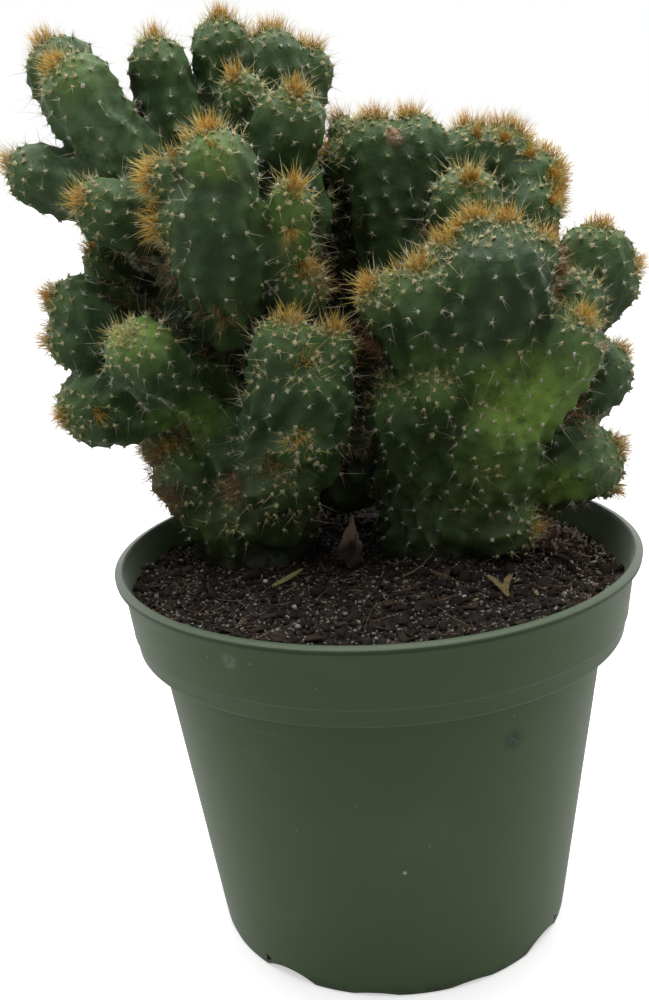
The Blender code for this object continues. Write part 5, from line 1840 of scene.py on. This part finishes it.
def scatter_grains(name, count, material, chance, heap=None):
    """Strew grains over the soil, half sunk, with most of them small."""
    grain = GRAINS[name]
    smallest, largest = grain.sizes
    rows = []
    for _ in range(count):
        size = smallest + (largest - smallest) * chance.random() ** 3.0
        x, y = soil_spot(chance, SOIL_RADIUS - size, heap)
        origin = np.array((x, y, soil_height(x, y) + size * grain.raised))
        shape = (size, size * chance.uniform(*grain.flat), size * chance.uniform(*grain.flat))
        # Grains in the mouth of the cleft take their darkest tone: painted shade
        out_of_cleft_shade = ease(hypot(x - SHADED_CLEFT[0], y - SHADED_CLEFT[1]), SHADED_CLEFT[2] * 0.7, SHADED_CLEFT[2] * 1.3)
        rows.append((origin, random_turn(chance, shape),
                     min(chance.random() + 0.7 * ease(x, *BROWN_SIDE), 1.0) * out_of_cleft_shade))
    patterns = [grain_pattern(name, number, grain) for number in range(GRAIN_PATTERNS)]
    return finish_piece(copies(name, patterns, rows), material, "potting_soil")


def chip_pattern(number):
    """A splintered bark chip: a flat box, bevelled and knocked about."""
    chip = add_primitive("cube", f"chip_pattern_{number}", size=1.0)
    chip.scale = CHIP_SHAPE
    settle(chip)
    with editing(chip):
        bpy.ops.mesh.bevel(offset=0.05, segments=1, affect="EDGES")
    return knock_about(chip, 0.06, number + 20)


def scatter_chips(name, count, material, chance):
    """Lay flat chips over the soil, a little tilted."""
    origins = []
    turns = []
    for _ in range(count):
        size = chance.uniform(*CHIP_SIZES)
        x, y = soil_spot(chance, SOIL_RADIUS - 0.6 * size)
        origins.append(np.array((x, y, soil_height(x, y) + CHIP_LIFT)))
        turns.append(random_turn(chance, (size, size * chance.uniform(0.6, 1.1), size), CHIP_TILT))
    rows = zip(origins, turns, [chance.random() for _ in range(count)])
    patterns = [chip_pattern(number) for number in range(CHIP_PATTERNS)]
    return finish_piece(copies(name, patterns, rows), material, "potting_soil")


def scatter_threads(name, count, material, chance):
    """Fine root threads and splinters that lie over the soil."""
    rows = []
    for number in range(count):
        loose = number % 3 == 0
        steepest, longest = LOOSE_THREAD if loose else HEAPED_THREAD
        x, y = soil_spot(chance, SOIL_RADIUS - 0.006, None if loose else LITTER_HEAP)
        turn = chance.uniform(0, TURN)
        way = unit(np.array((cos(turn), sin(turn), chance.uniform(0.0, steepest))))
        root = np.array((x, y, soil_height(x, y) + THREAD_LIFT))
        rows.append(Spine(root, way, chance.uniform(SHORTEST_THREAD, longest), chance.uniform(*THREAD_RADII),
                          chance.random()))
    for start, end, radius in TWIGS:
        root = np.array((*start, 0.0)) * MM + (0, 0, soil_height(start[0] * MM, start[1] * MM) + 0.0010)
        tip = np.array((*end, 0.0)) * MM + (0, 0, soil_height(end[0] * MM, end[1] * MM) + 0.0018)
        rows.append(Spine(root, unit(tip - root), float(np.linalg.norm(tip - root)), radius * MM, 1.0))
    pattern = taper_pattern(4)
    piece = build_spines(name, pattern, rows, chance, material, "potting_soil", THREAD_BEND)
    remove(pattern)
    return piece


def blade_sheet(name, length, width, steps, shape, curl):
    """A blade drawn out of a grid along +X: shape gives its half width, curl its lift and roll."""
    sheet = add_primitive("grid", name, x_subdivisions=steps, y_subdivisions=8, size=1.0)
    points = points_of(sheet)
    share = points[:, 0] + 0.5
    across = points[:, 1] * 2
    half = width / 2 * np.array([shape(value) for value in share])
    points[:, 0] = share * length
    points[:, 1] = across * half
    points[:, 2] = np.array([curl(a, b) for a, b in zip(share, across)])
    put_points(sheet, points)
    return sheet


def lay_on_soil(sheet, thickness, place, degrees, height):
    """Give a sheet its thickness and rounded edges, turn it about Z and lay it over the soil."""
    apply_modifier(sheet, "SOLIDIFY", thickness=thickness, offset=0.0)
    apply_modifier(sheet, "SUBSURF", levels=1, render_levels=1)
    shade(sheet)
    turn = Matrix.Rotation(radians(degrees), 4, "Z")
    sheet.data.transform(Matrix.Translation((*place, SOIL_TOP + height)) @ turn)


def leaf_outline(share):
    """Half width of the leaf at a share of its length: a ragged heart with a long point."""
    return min(1.0, 8 * share + 0.2) * (1 - share) ** 0.7 * (1 + 0.16 * sin(19 * share)) + 0.04


def leaf_curl(share, across):
    """Lift of the leaf: it stands up, its edges roll in and its face buckles."""
    rise = 0.0115 * share * share
    roll = 0.0034 * abs(across) ** 1.2 * (1 - 0.5 * share)
    waves = 9 * share + 3 * across
    return rise + roll + 0.0012 * sin(waves) + 0.0006 * sin(27 * share - 8 * across)


def trough(rise):
    """The lift of a straw whose tip rises and whose edges turn up."""
    return lambda share, across: rise * share * share + STRAW_ROLL * across * across


def build_leaf(litter):
    """The curled leaf that stands in the mouth of the cleft."""
    leaf = blade_sheet("curled_leaf", *LEAF_SIZE, 28, leaf_outline, leaf_curl)
    lay_on_soil(leaf, litter.thickness, LITTER_PLACES[0], LEAF_TURN, LEAF_HEIGHT)
    return finish_piece(leaf, leaf_paint("dry_leaf_brown", litter.leaf, LEAF_STREAK, LEAF_TIP),
                        "dry_leaf", "dry_leaf")


def build_straw(litter):
    """The straw blade, blunt at its root and drawn out at its tip."""
    blade = blade_sheet("straw_blade_dressed", *STRAW_SIZE, 14,
                        lambda share: sin(pi * (0.10 + 0.87 * share)) ** 0.8, trough(0.001))
    lay_on_soil(blade, litter.thickness, LITTER_PLACES[1], STRAW_TURN, STRAW_HEIGHT)
    return finish_piece(blade, leaf_paint("straw_yellow", litter.straw, STRAW_STREAK), "straw", "straw_blade")


def split_outline(share):
    """Half width of a half of the split straw, widest past its middle."""
    return (0.45 + 0.55 * share) * sin(pi * (0.14 + 0.80 * share)) ** 0.5


def build_split(litter):
    """The split straw: two halves that bend apart from one root."""
    length = SPLIT_SIZE[0]
    halves = []
    for lean in SPLIT_LEANS:
        half = blade_sheet(f"split_half_{len(halves)}", *SPLIT_SIZE, 12, split_outline, trough(0.002))
        points = points_of(half)
        points[:, 1] += lean * length * (points[:, 0] / length) ** 2.4
        put_points(half, points)
        halves.append(half)
    split = joined(halves)
    split.name = "split_straw_dressed"
    lay_on_soil(split, litter.thickness, LITTER_PLACES[2], SPLIT_TURN, STRAW_HEIGHT)
    return finish_piece(split, leaf_paint("straw_olive", *OLIVE_TONES), "straw", "split_straw")


# Stage


def lay_floor(stage):
    """A floor that is white to the camera and dimmer to the cactus."""
    floor = settle(add_primitive("plane", "floor", size=FLOOR_SIZE, location=(0, 0, FLOOR_HEIGHT)))
    paint = Paint("pale_floor", Specular_IOR_Level=0.0, Roughness=1.0, Emission_Strength=FLOOR_GLOW)
    seen = paint.camera_ray()
    paint.feed(paint.shader.inputs["Emission Color"], paint.mix(seen, (0, 0, 0), (1, 1, 1)))
    floor.data.materials.append(paint.finish(paint.mix(seen, stage.bounce, stage.floor)))


def light_studio(scene, stage):
    """An even sky, dim on the viewer's side and bright behind, and a panel overhead."""
    world = bpy.data.worlds.new("studio")
    scene.world = world
    world.use_nodes = True
    sky = Graph(world.node_tree)
    way = sky.node("ShaderNodeTexCoord", output="Generated")
    depth = sky.node("ShaderNodeSeparateXYZ", None, {0: way}, "Y")
    reach = {"Value": depth, "From Min": stage.turn, "From Max": BACK_LIGHT_START,
             "To Min": stage.front, "To Max": stage.back}
    seen = sky.camera_ray()
    background = world.node_tree.nodes["Background"]
    sky.feed(background.inputs["Color"], (1.0, 1.0, 1.0))
    sky.feed(background.inputs["Strength"], sky.node("ShaderNodeMapRange", None, reach) * (1 - seen) + seen)
    light = bpy.data.lights.new("top_panel", "AREA")
    light.energy = stage.top
    light.size = PANEL_SIZE
    add_object("top_panel", light).location = PANEL_PLACE


def set_camera(scene):
    """The camera of the photograph, rolled a little."""
    camera = bpy.data.cameras.new("camera")
    camera.lens = CAMERA_LENS
    camera.sensor_width = SENSOR_WIDTH
    ahead = (CAMERA_AIM - CAMERA_PLACE).normalized()
    level = ahead.cross(Vector((0, 0, 1))).normalized()
    rise = level.cross(ahead)
    right = level * cos(CAMERA_ROLL) + rise * sin(CAMERA_ROLL)
    up = rise * cos(CAMERA_ROLL) - level * sin(CAMERA_ROLL)
    turn = Matrix((right, up, -ahead)).transposed()
    scene.camera = add_object("camera", camera)
    scene.camera.matrix_world = Matrix.Translation(CAMERA_PLACE) @ turn.to_4x4()
    scene.view_settings.view_transform = "Standard"


# Operators


class CACTUS_OT_pot(Operator):
    """Pull the nursery pot and paint its plastic"""

    bl_idname = "cactus.pot"
    bl_label = "Pot"

    def execute(self, context):
        build_pot(pot_paint(context.scene.cactus_pot))
        return {"FINISHED"}


class CACTUS_OT_stems(Operator):
    """Grow the ribbed skin of both stems"""

    bl_idname = "cactus.stems"
    bl_label = "Stems"

    def execute(self, context):
        plant = context.scene.cactus_plant
        for side in CLUMPS:
            grow_stem(side, plant, skin_paint(f"{side}_skin_green", plant))
        shade_stems()
        return {"FINISHED"}


class CACTUS_OT_wool(Operator):
    """Set the wool of every areole"""

    bl_idname = "cactus.wool"
    bl_label = "Wool"

    def execute(self, context):
        settings = context.scene.cactus_spines
        for side, (_, areoles) in STEMS.items():
            young = [one for one in areoles if one.distance < CROWN_FUZZ]
            grown = [one for one in areoles if one.distance >= CROWN_FUZZ]
            build_wool(f"{side}_wool", side, grown, settings.wool_radius,
                       wool_paint(f"{side}_cream_wool", settings.cream))
            build_wool(f"{side}_crown_wool", side, young, settings.wool_radius * 1.3,
                       wool_paint(f"{side}_butter_wool", settings.butter))
        return {"FINISHED"}


class CACTUS_OT_spines(Operator):
    """Set the golden tufts, the pale and the ashen spines, and the dry fibres"""

    bl_idname = "cactus.spines"
    bl_label = "Spines"

    def execute(self, context):
        settings = context.scene.cactus_spines
        long_taper = taper_pattern(3)
        short_taper = taper_pattern(2)
        needle = needle_pattern()
        gold = spine_paint("golden_spine", settings.amber, settings.gold, settings.straw)
        ray = spine_paint("straw_ray", settings.lime, RAY_MIDDLE, settings.chaff)
        pale = spine_paint("pale_spine", *PALE_SPINE)
        # Ashen spines: old ones, and painted shade on shaded areoles
        ashen = spine_paint("ashen_spine", ASHEN_ROOT, settings.ash, ASHEN_TIP, 0.6)
        rusty = spine_paint("rusty_fibre", FIBRE_ROOT, settings.rust, FIBRE_TIP, 0.7)
        for side in CLUMPS:
            chance = random.Random(f"bend{side}")
            light, dark = areole_rows(side, settings)
            hearts, rays, fuzz = crown_rows(side, settings)
            for name, pattern, rows, material, bend in (
                    ("golden_spines", short_taper, hearts, gold, 0.14),
                    ("straw_rays", short_taper, rays, ray, 0.16),
                    ("crown_fuzz", needle, fuzz, ray, 0.10),
                    ("pale_spines", needle, light, pale, 0.10),
                    ("ashen_spines", needle, dark, ashen, 0.10),
                    ("dry_fibres", long_taper, fibre_rows(side, settings), rusty, 0.55)):
                build_spines(f"{side}_{name}", pattern, rows, chance, material, f"{side}_skin", bend)
        remove(long_taper, short_taper, needle)
        return {"FINISHED"}


class CACTUS_OT_soil(Operator):
    """Fill the pot with soil and strew its crumbs, grit, bark and threads"""

    bl_idname = "cactus.soil"
    bl_label = "Soil"

    def execute(self, context):
        soil = context.scene.cactus_soil
        chance = random.Random(17)
        build_soil_body(soil_paint(soil))
        dark = grain_paint("peat_crumb", soil.peat, soil.bark, 0.35, 0.9)
        pale = grain_paint("pale_grit", GRIT_SHADE, soil.stone, roughness=0.75)
        white = grain_paint("perlite", *PERLITE_TONES, roughness=0.8)
        tan = grain_paint("tan_flake", *FLAKE_TONES)
        brown = grain_paint("brown_litter", *LITTER_TONES)
        bark = grain_paint("bark_chip", BARK_SHADE, soil.bark)
        threads = spine_paint("root_thread", *ROOT_THREAD, 0.7)
        scatter_grains("soil_crumbs", soil.crumbs, dark, chance)
        scatter_grains("soil_clods", CLODS, dark, chance)
        scatter_grains("soil_grit", soil.grit, pale, chance)
        scatter_grains("soil_perlite", PERLITE, white, chance)
        scatter_grains("tan_flakes", TAN_FLAKES, tan, chance)
        scatter_grains("brown_litter", BROWN_LITTER, brown, chance, LITTER_HEAP)
        scatter_chips("bark_chips", soil.chips, bark, chance)
        scatter_threads("root_threads", soil.threads, threads, chance)
        return {"FINISHED"}


class CACTUS_OT_litter(Operator):
    """Lay the dry leaf and the straws on the soil"""

    bl_idname = "cactus.litter"
    bl_label = "Litter"

    def execute(self, context):
        litter = context.scene.cactus_litter
        build_leaf(litter)
        build_straw(litter)
        build_split(litter)
        return {"FINISHED"}


class CACTUS_OT_stage(Operator):
    """Lay the pale floor and set the studio light and the camera"""

    bl_idname = "cactus.stage"
    bl_label = "Stage"

    def execute(self, context):
        stage = context.scene.cactus_stage
        lay_floor(stage)
        light_studio(context.scene, stage)
        set_camera(context.scene)
        return {"FINISHED"}


class CACTUS_PT_sidebar(Panel):
    """The cactus's sizes, colours and steps"""

    bl_idname = "CACTUS_PT_sidebar"
    bl_label = "Potted crested cactus"
    bl_space_type = "VIEW_3D"
    bl_region_type = "UI"
    bl_category = "Cactus"

    def draw(self, context):
        for name in SETTINGS:
            box = self.layout.box()
            group = getattr(context.scene, name)
            for key in group.bl_rna.properties.keys():
                if key not in ("rna_type", "name"):
                    box.prop(group, key)
        for operator in OPERATORS:
            self.layout.operator(operator.bl_idname)


SETTINGS = {
    "cactus_plant": PlantSettings,
    "cactus_spines": SpineSettings,
    "cactus_pot": PotSettings,
    "cactus_soil": SoilSettings,
    "cactus_litter": LitterSettings,
    "cactus_stage": StageSettings,
}
OPERATORS = (CACTUS_OT_stage, CACTUS_OT_pot, CACTUS_OT_soil, CACTUS_OT_stems, CACTUS_OT_wool,
             CACTUS_OT_spines, CACTUS_OT_litter)


def register():
    """Register the settings, the operators and the panel."""
    for one in (*SETTINGS.values(), *OPERATORS, CACTUS_PT_sidebar):
        bpy.utils.register_class(one)
    for name, kind in SETTINGS.items():
        setattr(bpy.types.Scene, name, PointerProperty(type=kind))


def unregister():
    """Take the settings, the operators and the panel away again."""
    for name in SETTINGS:
        delattr(bpy.types.Scene, name)
    for one in (CACTUS_PT_sidebar, *reversed(OPERATORS), *reversed(SETTINGS.values())):
        bpy.utils.unregister_class(one)


def main():
    """Build every piece in order."""
    register()
    bpy.ops.cactus.stage()
    bpy.ops.cactus.pot()
    bpy.ops.cactus.soil()
    bpy.ops.cactus.stems()
    bpy.ops.cactus.wool()
    bpy.ops.cactus.spines()
    bpy.ops.cactus.litter()


if __name__ == "__main__":
    main()
